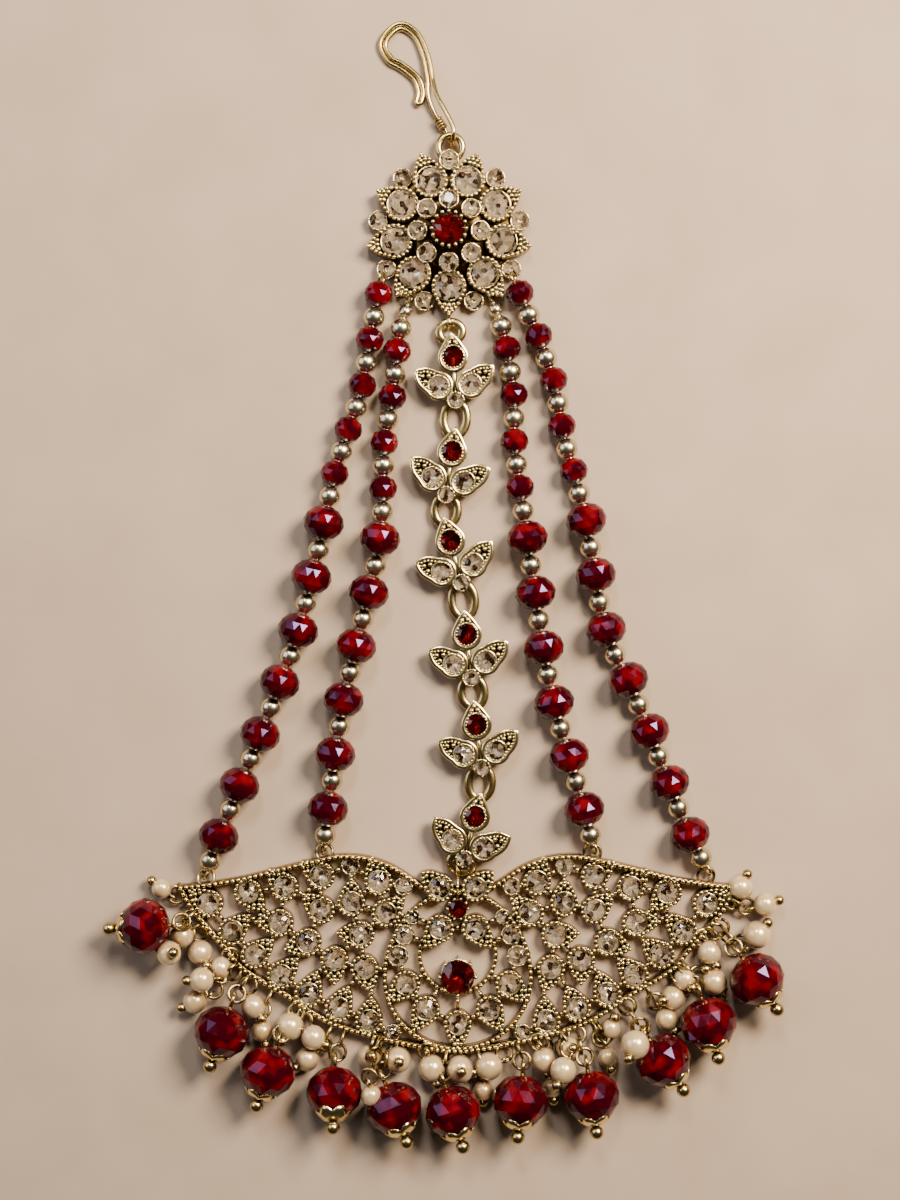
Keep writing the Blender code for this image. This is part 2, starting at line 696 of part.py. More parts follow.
def build_link(number, collections, look):
    base = bmesh.new()
    added = bmesh.new()
    middle, turn = link_frame(number)
    up = math.pi / 2
    side = LINK_SIDE_TURN
    petals = (
        ((0, 0), LINK_TOP_RADIUS, LINK_TOP_TIP, up),
        ((-LINK_SIDE_ACROSS, -LINK_SIDE_DOWN), LINK_SIDE_RADIUS, LINK_SIDE_TIP, math.pi - side),
        ((LINK_SIDE_ACROSS, -LINK_SIDE_DOWN), LINK_SIDE_RADIUS, LINK_SIDE_TIP, side),
    )
    seats = []
    wall_top = LINK_LIFT + LINK_WALL
    for spot, radius, tip, lean in petals:
        place = link_point(number, spot)
        target = added if seats else base
        points = turned(pear(radius, tip), place, turn + lean)
        add_setting(target, points, LINK_LIFT, wall_top)
        seats.append((place, radius))
    place = link_point(number, (0, -LINK_ROUND_DOWN))
    points = circle(LINK_ROUND_RADIUS, SMALL_ROUND_SIDES, place)
    add_setting(added, points, LINK_LIFT, wall_top, LINK_ROUND_RADIUS * 0.4, CROWN_HEIGHT * 0.8)
    seats.append((place, LINK_ROUND_RADIUS))
    low = LINK_LIFT + 0.1 * MM
    for start, end in bridges(seats, (), BRIDGE_REACH):
        add_bar(added, start, end, BRIDGE_WIDTH, low, wall_top - 0.1 * MM)
    for spot in ((0, TOP_EYE_UP), (0, -LINK_ROUND_DOWN)):
        add_eye(added, link_point(number, spot), turn)
    fused(f"chain_link_{number + 1}", base, added, collections, look)


def build_connector(number, collection, look):
    """The flat oval ring above a link, or below the last one."""
    if number == 0:
        start = rosette_eye()
    else:
        start = link_point(number - 1, (0, -LINK_ROUND_DOWN))
    if number == LINK_COUNT:
        end = plate_point(0, 0) + Vector((0, PLATE_EYE_UP))
    else:
        end = link_point(number, (0, TOP_EYE_UP))
    middle = (start + end) / 2
    long_way = (end - start) / 2
    wide_way = Vector((-long_way.y, long_way.x)).normalized() * CONNECTOR_HALF_WIDTH
    points = []
    for spot in circle(1.0, SIDES):
        points.append((*(middle + long_way * spot.x + wide_way * spot.y), EYE_HEIGHT))
    mesh = tube(points, [CONNECTOR_WIRE_RADIUS] * len(points), cyclic=True)
    round_off(mesh)
    place_object(f"connector_ring_{number + 1}", mesh, collection, look)


def build_drops(collection, look):
    """Each drop is one turned body: pin, red bead, cap and ball. They share one mesh."""
    half = DROP_LENGTH / 2
    cap_end = -half - DROP_CAP_LENGTH
    profile = (
        (0, half + DROP_PIN_LENGTH),
        (DROP_PIN_RADIUS, half + DROP_PIN_LENGTH),
        (DROP_PIN_RADIUS * 3, half),
        (DROP_DIAMETER / 2, DROP_LENGTH * 0.16),
        (DROP_DIAMETER / 2, -DROP_LENGTH * 0.16),
        (DROP_CAP_RADIUS, -half),
        (DROP_BALL_RADIUS * 0.6, cap_end),
        (DROP_BALL_RADIUS, cap_end - DROP_BALL_RADIUS * 0.8),
        (0, cap_end - DROP_BALL_RADIUS * 1.7),
    )
    mesh = turned_mesh("drop", profile)
    for number, (across, up, degrees, tilt) in enumerate(DROPS):
        ball_way = Vector((
            math.cos(math.radians(degrees)) * math.cos(math.radians(tilt)),
            math.sin(math.radians(degrees)) * math.cos(math.radians(tilt)),
            math.sin(math.radians(tilt)),
        ))
        drop = bpy.data.objects.new(f"drop_{number + 1}", mesh)
        collection.objects.link(drop)
        add_screw(drop)
        drop.rotation_mode = "QUATERNION"
        drop.rotation_quaternion = ball_way.to_track_quat("-Z", "Y")
        drop.location = (*plate_point(across, up), DROP_DIAMETER / 2)
    mesh.materials.append(look)


def build_pearls(collection, look):
    """Pearls of one cluster touch, so that a cluster is one body."""
    for number, row in enumerate(PEARL_CLUSTERS):
        middles = []
        for across, up, height, radius in row:
            middles.append((Vector((*plate_point(across, up), height * MM)), radius * MM))
        points = []
        radii = []
        for step, (middle, radius) in enumerate(middles):
            before = middles[max(step - 1, 0)][0]
            after = middles[min(step + 1, len(middles) - 1)][0]
            way = (after - before).normalized()
            if step == 0:
                points.append(middle - way * radius)
                radii.append(PEARL_NECK_RADIUS)
            for share, wide in PEARL_RINGS:
                points.append(middle + way * radius * (2 * share - 1))
                radii.append(radius * wide)
            if step + 1 < len(middles):
                other, other_radius = middles[step + 1]
                points.append(middle.lerp(other, radius / (radius + other_radius)))
            else:
                points.append(middle + way * radius)
            radii.append(PEARL_NECK_RADIUS)
        mesh = tube(points, radii, resolution=3)
        round_off(mesh, 60)
        place_object(f"pearl_cluster_{number + 1}", mesh, collection, look)


def build():
    for old in list(bpy.data.objects):
        bpy.data.objects.remove(old)
    model = bpy.data.collections.new("jhoomar")
    helpers = bpy.data.collections.new("jhoomar_additions")
    for made in (model, helpers):
        bpy.context.scene.collection.children.link(made)
    helpers.hide_render = True
    both = (model, helpers)
    gilt = material("antique_gilt_brass", (0.62, 0.49, 0.25), 0.32, 1.0)
    red_bead = material("red_glass_bead", (0.30, 0.004, 0.012), 0.12, 0.0)
    red_stone = material("red_cut_stone", (0.35, 0.004, 0.012), 0.06, 0.0)
    pearl = material("cream_pearl", (0.82, 0.74, 0.58), 0.30, 0.0)
    build_hook(model, gilt)
    build_rosette(both, gilt)
    build_plate(both, gilt)
    low = COLLET_HEIGHT + LAYER_GAP
    build_ruby("rosette_ruby", ROSETTE_RUBY_RADIUS, (0, 0), low, model, red_stone)
    low = PLATE_COLLET_HEIGHT + LAYER_GAP
    rubies = (
        ("medallion_ruby", PLATE_RUBY_RADIUS, PLATE_RUBY_UP),
        ("flower_ruby", FLOWER_RUBY_RADIUS, FLOWER_RUBY_UP),
    )
    for name, radius, up in rubies:
        build_ruby(name, radius, plate_point(0, up), low, model, red_stone)
    for name, shares in STRING_ROUTES.items():
        build_string(name, shares, model, red_bead)
    for number in range(LINK_COUNT):
        build_link(number, both, gilt)
    for number in range(LINK_COUNT + 1):
        build_connector(number, model, gilt)
    build_drops(model, red_bead)
    build_pearls(model, pearl)


build()
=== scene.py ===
"""The jhoomar as it looks: a side head ornament that lies face up on a pale table.

Lengths are in millimetres until a mesh is made. +Y is towards the hook, +Z is up through the stones.
"""

import math
import random

import bmesh
import bpy
import numpy as np
from mathutils import Matrix, Vector


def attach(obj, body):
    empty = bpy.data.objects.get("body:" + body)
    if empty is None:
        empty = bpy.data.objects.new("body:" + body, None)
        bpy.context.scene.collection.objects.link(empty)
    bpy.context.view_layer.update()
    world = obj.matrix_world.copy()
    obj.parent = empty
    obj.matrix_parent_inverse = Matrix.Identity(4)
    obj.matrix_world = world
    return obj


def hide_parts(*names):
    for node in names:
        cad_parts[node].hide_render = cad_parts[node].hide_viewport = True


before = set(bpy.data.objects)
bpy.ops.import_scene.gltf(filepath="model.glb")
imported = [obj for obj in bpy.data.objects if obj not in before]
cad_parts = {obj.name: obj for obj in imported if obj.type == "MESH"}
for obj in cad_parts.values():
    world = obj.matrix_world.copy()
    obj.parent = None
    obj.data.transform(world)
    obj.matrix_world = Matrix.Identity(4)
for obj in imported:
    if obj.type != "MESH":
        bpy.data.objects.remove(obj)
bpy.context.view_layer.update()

MM = 0.001
chance = random.Random(11)

# Main spacing
PLATE_FALL = 89.5
PLATE_SHIFT = 1.2
PLATE_HALF_SPAN = 39.0
PLATE_DEPTH = 23.0

# Beading along edges, and the small cast balls in the points of the settings
MILGRAIN_RADIUS = 0.28
MILGRAIN_PITCH = 0.66
RIM_GRAIN_RADIUS = 0.33
RIM_GRAIN_PITCH = 0.8
FINE_MILGRAIN_RADIUS = 0.2
FINE_MILGRAIN_PITCH = 0.48
GRAIN_RADIUS = 0.35

# Stones, and the trays and cups that hold them
STONE_DEPTH = 0.46  # underside of a cut stone, as a share of its radius
STONE_OVER_FLOOR = 0.12
STONE_LEAN = 6  # degrees
RED_STONE_LEAN = 2
HUB = 0.01  # how near its axis a turned body starts
TRAY_INSET = 0.27  # from a teardrop's outline to the middle of its wall
TRAY_HALF_WALL = 0.2
FINE_HALF_WALL = 0.27
TRAY_FLOOR = 0.1
MILGRAIN_UP = 0.08  # over the top of the wall; the next ones are measured down from it
POINT_FILL_DOWN = 0.5
FINE_BEADS_DOWN = 0.06
COLLAR_DOWN = 0.12
STONE_DOWN = 0.06
GRAIN_DOWN = 0.14
FINE_BEADS_INSIDE = 0.12
COLLAR_OUTSIDE = 0.02
COLLAR_WIRE = 0.14
CUP_FOOT = 0.78  # as a share of the cup's radius
CUP_DEPTH = 0.5
CUP_STONE_INSIDE = 0.17
CUP_STONE_DOWN = 0.04
CUP_BEAD_INSIDE = 0.12
CUP_BEAD_UP = 0.04
CUP_BEAD_RADIUS = 0.17

# Each teardrop setting has the radius of its round end, the reach of its point, the bulge of its
# sides, the height of its wall, the radius of its stone, and the grains in its point as (along, across)

# Rosette
PETAL_COUNT = 9
PETAL_RING_RADIUS = 7.4
PETAL_LIFT = 0.3
ROSETTE_PETAL = dict(
    radius=2.45, tip=4.05, bulge=0.25, wall=1.9, stone=1.95,
    grains=((2.42, 0.62), (2.42, -0.62), (2.5, 0.0), (3.02, 0.33), (3.02, -0.33), (3.52, 0.0)),
)
OUTER_ROUND_RING_RADIUS = 9.9
OUTER_ROUND_RADIUS = 1.4
OUTER_ROUND_WALL = 1.3
TOP_ROUND_LOW = 0.85  # the one between the top petals lies over the bail
INNER_ROUND_COUNT = 8
INNER_ROUND_RING_RADIUS = 4.05
INNER_ROUND_RADIUS = 1.4
INNER_ROUND_LOW = 1.2
INNER_ROUND_WALL = 1.95
INNER_ROUND_LEAN = math.radians(8)
ROSETTE_RUBY_RADIUS = 2.15
ROSETTE_RUBY_LOW = 3.7
RUBY_GIRDLE = 0.85
# The claws round a red stone, each with a bead on top
ROSETTE_CLAWS = dict(outside=0.2, count=16, low=3.2, high=ROSETTE_RUBY_LOW + RUBY_GIRDLE, bead=0.27)
DOME_PROFILE = (
    (HUB, 3.35), (2.3, 3.4), (2.45, 3.2), (2.6, 2.3), (4.2, 2.2), (5.0, 1.9), (5.4, 1.0),
    (8.1, 0.9), (8.85, 0.75), (8.9, 0.0), (HUB, 0.0),
)
BAIL = Vector((0.2, 11.75, 1.3))
BAIL_RADIUS = 1.65
BAIL_WIRE_RADIUS = 0.5

# Hook
HOOK_WIRE_RADIUS = 0.34
HOOK_PAIR_SPACING = 0.72
HOOK_SAMPLES = 7
HOOK_LOOP_SAMPLES = 5
HOOK_WRAP = Vector((-1.15, 15.1, 0.85))
HOOK_WRAP_WAY = Vector((-0.55, 0.83, 0.0))
HOOK_WRAP_TURNS = 4
HOOK_WRAP_PITCH = 0.42
HOOK_WRAP_RADIUS = 0.5
HOOK_WRAP_WIRE = 0.2
HOOK_ROUTE = (
    (-4.2, 18.1, 0.5), (-3.9, 19.6, 0.4), (-4.6, 21.5, 0.4), (-6.5, 23.1, 0.4), (-8.2, 24.1, 0.4),
    (-9.1, 26.4, 0.4), (-6.9, 28.6, 0.4), (-4.6, 27.5, 0.4), (-3.2, 24.4, 0.5), (-2.6, 21.2, 0.8),
)
HOOK_LOOP = (
    (-1.7, 18.9, 1.5), (-0.6, 16.7, 2.1), (0.5, 14.4, 2.45), (0.6, 13.2, 2.45), (0.5, 12.25, 1.6),
    (0.35, 12.2, 0.8), (0.1, 13.0, 0.36), (-0.5, 14.2, 0.36), (-1.4, 15.6, 0.45), (-2.3, 17.2, 0.6),
    (-2.9, 19.0, 0.8),
)

# Bead strings
SMALL_RED_DIAMETER = 3.9
SMALL_RED_LENGTH = 3.45
SMALL_RED_COUNT = 5
LARGE_RED_DIAMETER = 5.7
LARGE_RED_LENGTH = 4.65
METAL_BEAD_DIAMETER = 3.0
METAL_BEAD_LENGTH = 2.95
LEAD_BEAD_DIAMETER = 2.0
RED_BEAD_HALF = 0.49  # half the length of a red bead, as a share that leaves it clear of the next
HOLE_RIM_AT = 0.47  # as a share of a metal bead's length, and its radius as a share of the bead's
HOLE_RIM_RADIUS = 0.32
HOLE_RIM_WIRE = 0.1
BEAD_GRIP = (0.1, 0.9)  # where a bead's hole meets the route, as shares of its length
THREAD_RADIUS = 0.22
THREAD_START = 2.2  # past the middle of the first bead
THREAD_END = 2.0
THREAD_LOW = 1.05
END_LOOP_RADIUS = 0.8
END_LOOP_LEAN = 0.4
# Spots along each string, as shares of the plate's half span across and of its fall downwards
STRING_ROUTES = {
    "outer_left": (
        (-0.238, 0.076), (-0.249, 0.096), (-0.280, 0.167), (-0.304, 0.240), (-0.357, 0.305),
        (-0.406, 0.374), (-0.439, 0.449), (-0.528, 0.614), (-0.665, 0.773), (-0.812, 0.930),
        (-0.853, 0.977),
    ),
    "inner_left": (
        (-0.146, 0.110), (-0.170, 0.146), (-0.183, 0.182), (-0.196, 0.250), (-0.230, 0.320),
        (-0.231, 0.391), (-0.237, 0.470), (-0.325, 0.634), (-0.371, 0.715), (-0.399, 0.799),
        (-0.440, 0.938),
    ),
    "inner_right": (
        (0.155, 0.107), (0.186, 0.145), (0.203, 0.181), (0.231, 0.251), (0.226, 0.318),
        (0.249, 0.389), (0.273, 0.466), (0.329, 0.633), (0.364, 0.718), (0.476, 0.884),
        (0.505, 0.938),
    ),
    "outer_right": (
        (0.231, 0.076), (0.252, 0.097), (0.322, 0.166), (0.375, 0.235), (0.396, 0.303),
        (0.441, 0.370), (0.483, 0.445), (0.546, 0.614), (0.637, 0.691), (0.854, 0.935),
        (0.905, 0.971),
    ),
}
INNER_STRINGS = ("inner_left", "inner_right")

# Centre chain
CHAIN_HEAD = 17.2
LINK_PITCH = 12.56
LINK_COUNT = 6
LINK_LIFT = 1.6
LINK_WALL = 1.0
LINK_TOP = dict(
    radius=2.1, tip=3.5, bulge=0.1, wall=LINK_WALL, stone=1.6,
    grains=((2.02, 0.42), (2.02, -0.42), (2.55, 0.0)), red=True, fine=True,
)
LINK_SIDE = dict(
    radius=2.0, tip=4.1, bulge=0.5, wall=LINK_WALL, stone=1.42,
    grains=((1.85, 0.5), (1.85, -0.45), (2.6, 0.05)), fine=True,
)
LINK_SIDE_ACROSS = 2.2
LINK_SIDE_DOWN = 3.8
LINK_SIDE_TURN = math.radians(35)
LINK_ROUND_RADIUS = 1.25
LINK_ROUND_DOWN = 5.9
LINK_BAR_RADIUS = 0.35
LINK_BAR_UP = 0.4
TOP_EYE_UP = 2.3
EYE_RADIUS = 0.75
EYE_WIRE_RADIUS = 0.25
EYE_HEIGHT = 1.0
CONNECTOR_HALF_WIDTH = 1.6
CONNECTOR_BAND = 0.62
CONNECTOR_FLATNESS = 0.55
ROSETTE_EYE = Vector((0, -12.22, EYE_HEIGHT))
# How each link lies: (across, along, turn in degrees), the first two as shares of the pitch
LINK_REST = (
    (0.044, 0.002, 3.7),
    (0.033, -0.030, -7.8),
    (0.014, 0.002, 15.2),
    (0.193, -0.017, 6.1),
    (0.300, 0.003, 7.0),
    (0.281, 0.003, -13.9),
)

# Crescent plate
RIM_HALF_WIDTH = 0.36
RIM_HEIGHT = 1.65
BAND_BEADS_UP = 0.14
PLATE_PEAR = dict(
    radius=2.0, tip=3.45, bulge=0.24, wall=1.6, stone=1.47,
    grains=((1.85, 0.55), (1.85, -0.55), (2.3, 0.0), (2.72, 0.0)),
)
PEAR_POINT = 0.4  # the radius of a pear's point, where ties meet it
FLOWER_PETAL = dict(
    radius=2.0, tip=3.35, bulge=0.3, wall=1.9, stone=1.45,
    grains=((1.85, 0.5), (1.85, -0.5), (2.45, 0.0)),
)
FLOWER_LIFT = 0.3
EGG_HALF_WIDTH = 10.3
EGG_UP = 12.0
EGG_DOWN = 10.0
EGG_BAND_HALF_WIDTH = 0.28
EGG_BAND_HEIGHT = RIM_HEIGHT - 0.1
INNER_RING_RADIUS = 5.5
INNER_RING_HEIGHT = 1.0
INNER_RING_HALF_WIDTH = 0.26
PLATE_RUBY_RADIUS = 2.3
FLOWER_RUBY_RADIUS = 1.25
PLATE_RUBY_LOW = 1.5
PLATE_CLAWS = dict(outside=0.18, count=8, low=0.0, high=PLATE_RUBY_LOW + RUBY_GIRDLE, bead=0.25)
FLOWER_CLAWS = dict(outside=0.15, count=10, low=0.0, high=PLATE_RUBY_LOW + 0.7, bead=0.2)
PLATE_RUBY_CUP = ((HUB, 0), (2.1, 0), (2.35, 1.2), (2.1, 1.2), (2.0, 0.9), (HUB, 0.9))
FLOWER_RUBY_CUP = ((HUB, 0), (1.2, 0), (1.25, 1.2), (HUB, 1.2))
TIE_RADIUS = 0.24
TIE_HEIGHT = 0.9
TIE_GAP = 1.15
TIE_SHORTEST = 0.05
TIE_SINK = 0.2  # how far a tie goes into the wall that it meets
TIE_BEAD_RADIUS = 0.36
TIE_BEAD_UP = 0.3
# Points of the rim, and below them the settings of the right half with their directions in
# degrees, all as (across, up) shares of the plate's half span and depth
RIM_TOP = (
    (1.0, 0.0), (0.878, 0.021), (0.75, 0.058), (0.628, 0.11), (0.497, 0.163), (0.41, 0.188),
    (0.32, 0.176), (0.234, 0.127), (0.165, 0.056), (0.10, -0.02),
)
RIM_BOTTOM = (
    (0.98, -0.03), (0.94, -0.149), (0.884, -0.268), (0.816, -0.397), (0.774, -0.49),
    (0.704, -0.571), (0.607, -0.667), (0.525, -0.762), (0.441, -0.838), (0.3435, -0.891),
    (0.177, -0.958), (0.0, -1.0),
)
WING_PEARS = (
    (0.874, -0.107, 34), (0.738, -0.040, -133), (0.608, -0.009, 49), (0.481, 0.058, 37),
    (0.279, 0.024, 71), (0.793, -0.271, 137), (0.626, -0.221, 3), (0.481, -0.145, 42),
    (0.374, -0.101, 90), (0.254, -0.163, 142), (0.713, -0.4125, 140), (0.528, -0.336, -17),
    (0.342, -0.293, 5), (0.622, -0.533, 135), (0.433, -0.443, -90), (0.328, -0.493, -108),
    (0.525, -0.643, 112), (0.419, -0.729, 115), (0.312, -0.804, 96),
)
MEDALLION_PEARS = ((0.181, -0.5875, -42), (0.112, -0.738, -59))
FLOWER_PETALS = ((0.063, -0.009, 42), (0.0625, -0.25, -50))
# Round settings of one half: (across, up, radius)
HALF_ROUNDS = (
    (0.189, -0.292, 1.44), (0.2105, -0.418, 1.5), (0.160, -0.185, 1.1), (0.377, 0.119, 1.3),
    (0.190, -0.003, 1.3), (0.229, -0.875, 1.2),
)
MIDDLE_PEAR = (0.0, -0.824, -90)
PLATE_RUBY_UP = -0.539
FLOWER_RUBY_UP = -0.133
EGG_MIDDLE_UP = -0.548
INNER_RING_UP = -0.414
PLATE_EYE_UP = 2.0

# Drops
DROP_DIAMETER = 7.8
DROP_LENGTH = 6.4
# (across, up, direction of the ball end in degrees, how far that end tilts up)
DROPS = (
    (-1.089, -0.226, 183, 0), (-0.821, -0.845, 251, 4), (-0.661, -1.077, 252, 4),
    (-0.430, -1.202, 270, 33), (-0.222, -1.292, 292, 14), (-0.018, -1.315, 287, 14),
    (0.218, -1.250, 265, 12), (0.465, -1.224, 278, 8), (0.715, -1.012, 304, 4),
    (0.872, -0.792, 285, 10), (1.040, -0.536, 304, 4),
)
CAP_RADIUS = 2.6
CAP_SCALLOPS = 6
CAP_DROOP = 3.4
# The cap's wall from its middle to its edge and back inside: (radius, height, depth of the scallops)
CAP_PROFILE = (
    (0.45, 0.0, 0.0), (1.3, 0.25, 0.03), (2.05, 0.75, 0.1), (CAP_RADIUS, 1.45, 0.2),
    (CAP_RADIUS - 0.15, 1.55, 0.2), (1.85, 0.9, 0.1), (0.4, 0.2, 0.0),
)
CAP_BEHIND = 0.75
CAP_BALL_RADIUS = 0.95
CAP_BALL_DOWN = 4.85
DROP_PIN_RADIUS = 0.3
DROP_LOOP_UP = 4.5
DROP_LOOP_RADIUS = 0.85
DROP_LOOP_WIRE = 0.26

# Pearls, their pins, and the jump rings
PEARL_BALL_RADIUS = 0.72
PEARL_BALL_OFF = 0.35
PEARL_COLLAR_RADIUS = 0.42
PEARL_COLLAR_WIRE = 0.1
PEARL_LOOP_OFF = 0.55
PEARL_LOOP_RADIUS = 0.6
PEARL_LOOP_LOW = 0.8
PEARL_PILE_TOP = 5.6
PIN_WIRE_RADIUS = 0.2
JUMP_RING_RADIUS = 1.15
JUMP_WIRE_RADIUS = 0.24
JUMP_RING_LOW = 1.0
JUMP_RING_STEP = 1.5  # in radii
JUMP_RING_LEAN = 0.4
RIM_HOLD_HEIGHT = 1.1
# Rows of (across, up, height, radius, way to the pin's ball), by cluster, and the single pearls
# between them as (x, y, radius, way to the ball)
PEARL_CLUSTERS = (
    ((-0.967, -0.292, 2.2, 1.65, (-0.3, -0.8, 0.5)), (-0.903, -0.393, 2.0, 1.7, (0.7, -1.2, 0.5)),
     (-0.833, -0.488, 1.8, 1.6, (-0.7, -0.8, 0.2))),
    ((-0.718, -0.714, 1.9, 1.7, (1.0, -1.4, 0.2)), (-0.588, -0.833, 2.0, 1.9, (-0.8, -1.4, 0.7))),
    ((-0.091, -1.083, 1.9, 1.85, (0.3, -1.0, 0.0)), (0.007, -1.089, 1.9, 1.9, (0.1, 0.1, 1.0)),
     (0.109, -1.071, 1.9, 1.9, (-1.4, -0.6, 0.0))),
    ((0.303, -1.036, 1.8, 1.75, (0.3, -1.0, -0.2)), (0.391, -0.970, 1.8, 1.75, (0.2, 0.3, 1.0))),
    ((0.735, -0.790, 1.8, 1.6, (1.1, -1.5, 0.2)), (0.756, -0.664, 1.8, 1.7, (-0.8, -0.05, 0.7)),
     (0.797, -0.556, 1.8, 1.6, (0.5, -0.5, 1.0))),
    ((1.079, -0.107, 1.9, 1.6, (1.5, 0.5, 0.3)), (1.050, -0.289, 2.0, 1.9, (1.3, 1.6, 0.4))),
)
LOOSE_PEARLS = (
    (-39.4, -89.9, 1.38, (-1.5, 1.2, 0.1)),
    (-37.9, -98.1, 1.66, (0.7, 0.3, 1.4)),
    (-33.6, -101.9, 1.66, (-1.6, -0.1, 0.2)),
    (-34.8, -105.3, 1.66, (-1.9, -0.9, 0.1)),
    (-25.6, -109.4, 1.52, (0.3, -1.0, 0.2)),
    (-18.5, -110.0, 1.66, (1.7, -1.0, 0.2)),
    (-19.4, -113.2, 1.66, (-1.9, -1.3, 0.2)),
    (-10.8, -112.9, 1.66, (0.2, 0.3, 1.0)),
    (-10.5, -117.1, 1.38, (0.2, -1.0, -0.2)),
    (-7.0, -113.3, 1.79, (0.1, 0.1, 1.0)),
    (4.7, -117.6, 1.38, (0.0, -1.0, -0.3)),
    (14.2, -117.2, 1.38, (0.1, -1.0, 0.0)),
    (15.5, -114.1, 1.79, (-0.6, -1.2, 0.5)),
    (21.8, -113.0, 1.38, (0.3, -1.0, 0.0)),
    (22.2, -109.0, 1.38, (0.3, 1.0, 0.4)),
    (25.1, -110.3, 1.93, (-0.8, -1.2, 1.1)),
    (35.7, -98.6, 1.66, (0.6, -1.2, 0.1)),
    (36.3, -102.6, 1.79, (-1.4, 2.1, 0.3)),
    (40.0, -89.7, 1.66, (0.8, 1.8, 0.2)),
)

# Camera, table and lamps
CAMERA = Vector((0.14, -50.34, 250.0))
LENS_MM = 54.4
SENSOR_MM = 36.0
TABLE_MM = 1600.0
# Square lamps: place, width, watts, colour
SOFTBOXES = {
    "window": ((190, 110, 270), 140, 4.6, "#fff0da"),
    "wall_bounce": ((-280, 60, 200), 260, 0.6, "#eef0ff"),
    "ceiling": ((-40, 220, 330), 90, 1.1, "#ffffff"),
}
ROOM_COLOUR = "#cfc8bd"
ROOM_GLOW = 0.06


def polar(radius, angle, height=0.0):
    return Vector((radius * math.cos(angle), radius * math.sin(angle), height))


def circle(radius, count, height=0.0, shift=0.0):
    return [polar(radius, math.tau * (step + shift) / count, height) for step in range(count)]


def pear(radius, tip, bulge=0.0, arc_steps=20, side_steps=6):
    """A teardrop outline: round about the origin, its point at +X, counterclockwise from the point."""
    spread = math.acos(radius / tip)
    swing = math.tau - 2 * spread
    point = Vector((tip, 0, 0))
    arc = [polar(radius, spread + swing * step / arc_steps) for step in range(arc_steps + 1)]

    def side(step, end, sign):
        share = step / side_steps
        return point.lerp(end, share) + polar(bulge * math.sin(math.pi * share), sign * spread)

    upper = [side(step, arc[0], 1) for step in range(side_steps)]
    lower = [side(step, arc[-1], -1) for step in range(side_steps - 1, 0, -1)]
    return upper + arc + lower


def inset(outline, distance):
    """A counterclockwise outline moved inwards."""
    moved = []
    for number, spot in enumerate(outline):
        along = (outline[(number + 1) % len(outline)] - outline[number - 1]).normalized()
        moved.append(spot - Vector((along.y, -along.x, 0)) * distance)
    return moved


def raised(outline, height):
    return [Vector((spot.x, spot.y, height)) for spot in outline]


def smooth_route(route, samples):
    """A rounded path through the route's points."""
    ends = [2 * route[0] - route[1], *route, 2 * route[-1] - route[-2]]
    path = []
    for a, b, c, d in zip(ends, ends[1:], ends[2:], ends[3:]):
        for step in range(samples):
            share = step / samples
            square = share * share
            cube = square * share
            path.append(
                0.5 * (2 * b + (c - a) * share + (2 * a - 5 * b + 4 * c - d) * square
                       + (3 * b - a - 3 * c + d) * cube)
            )
    return path + [route[-1]]


def route_lengths(route):
    lengths = [0.0]
    for start, end in zip(route, route[1:]):
        lengths.append(lengths[-1] + (end - start).length)
    return lengths


def along_route(route, lengths, distance):
    for number in range(1, len(route)):
        if distance <= lengths[number] or number == len(route) - 1:
            span = lengths[number] - lengths[number - 1]
            share = (distance - lengths[number - 1]) / span
            return route[number - 1].lerp(route[number], share)


def spaced(path, pitch, closed=True):
    """Points at an even pitch along a path."""
    route = path + path[:1] if closed else path
    lengths = route_lengths(route)
    count = max(2, round(lengths[-1] / pitch))
    last = count if closed else count + 1
    return [along_route(route, lengths, lengths[-1] * step / count) for step in range(last)]


def nearest_on(outline, spot):
    """The point of a closed outline that lies nearest to a spot."""
    best = None
    for start, end in zip(outline, outline[1:] + outline[:1]):
        along = end - start
        share = max(0.0, min(1.0, (spot - start).dot(along) / along.length_squared))
        found = start + along * share
        if best is None or (found - spot).length < (best - spot).length:
            best = found
    return best


def facing(way):
    """The turn that points +Z along this way."""
    return Vector(way).to_track_quat("Z", "Y").to_matrix().to_4x4()


def at(spot, turn=0.0):
    return Matrix.Translation(spot) @ Matrix.Rotation(turn, 4, "Z")


def grid_faces(rows, columns, closed):
    """Quads between neighbouring rows of points, each row a closed loop; open ends get a cap."""
    faces = []
    for row in range(rows if closed else rows - 1):
        low = row * columns
        high = (row + 1) % rows * columns
        for step in range(columns):
            after = (step + 1) % columns
            faces.append((low + step, low + after, high + after, high + step))
    if not closed:
        faces.append(tuple(range(columns))[::-1])
        faces.append(tuple(range((rows - 1) * columns, rows * columns)))
    return faces


def swept(path, section, closed=True):
    """A section, as (aside, up) points, carried along a path; aside is to the right of the way."""
    points = []
    for number, spot in enumerate(path):
        before = path[number - 1] if closed or number else spot
        after = path[(number + 1) % len(path)] if closed or number < len(path) - 1 else spot
        along = (after - before).normalized()
        aside = Vector((along.y, -along.x, 0)).normalized()
        up = aside.cross(along)
        points += [spot + aside * a + up * b for a, b in section]
    return points, grid_faces(len(path), len(section), closed)


def round_section(radius, count=10, flatness=1.0):
    return [(spot.x, spot.y * flatness) for spot in circle(radius, count)]


def turned_shape(profile, sides=24):
    """A body turned about Z from (radius, height) points."""
    points = [spot for radius, height in profile for spot in circle(radius, sides, height)]
    return points, grid_faces(len(profile), sides, False)


def slab(outline, low, high):
    return stacked([raised(outline, low), raised(outline, high)])


def stacked(rows):
    """A closed body through a pile of outlines."""
    return [spot for row in rows for spot in row], grid_faces(len(rows), len(rows[0]), False)


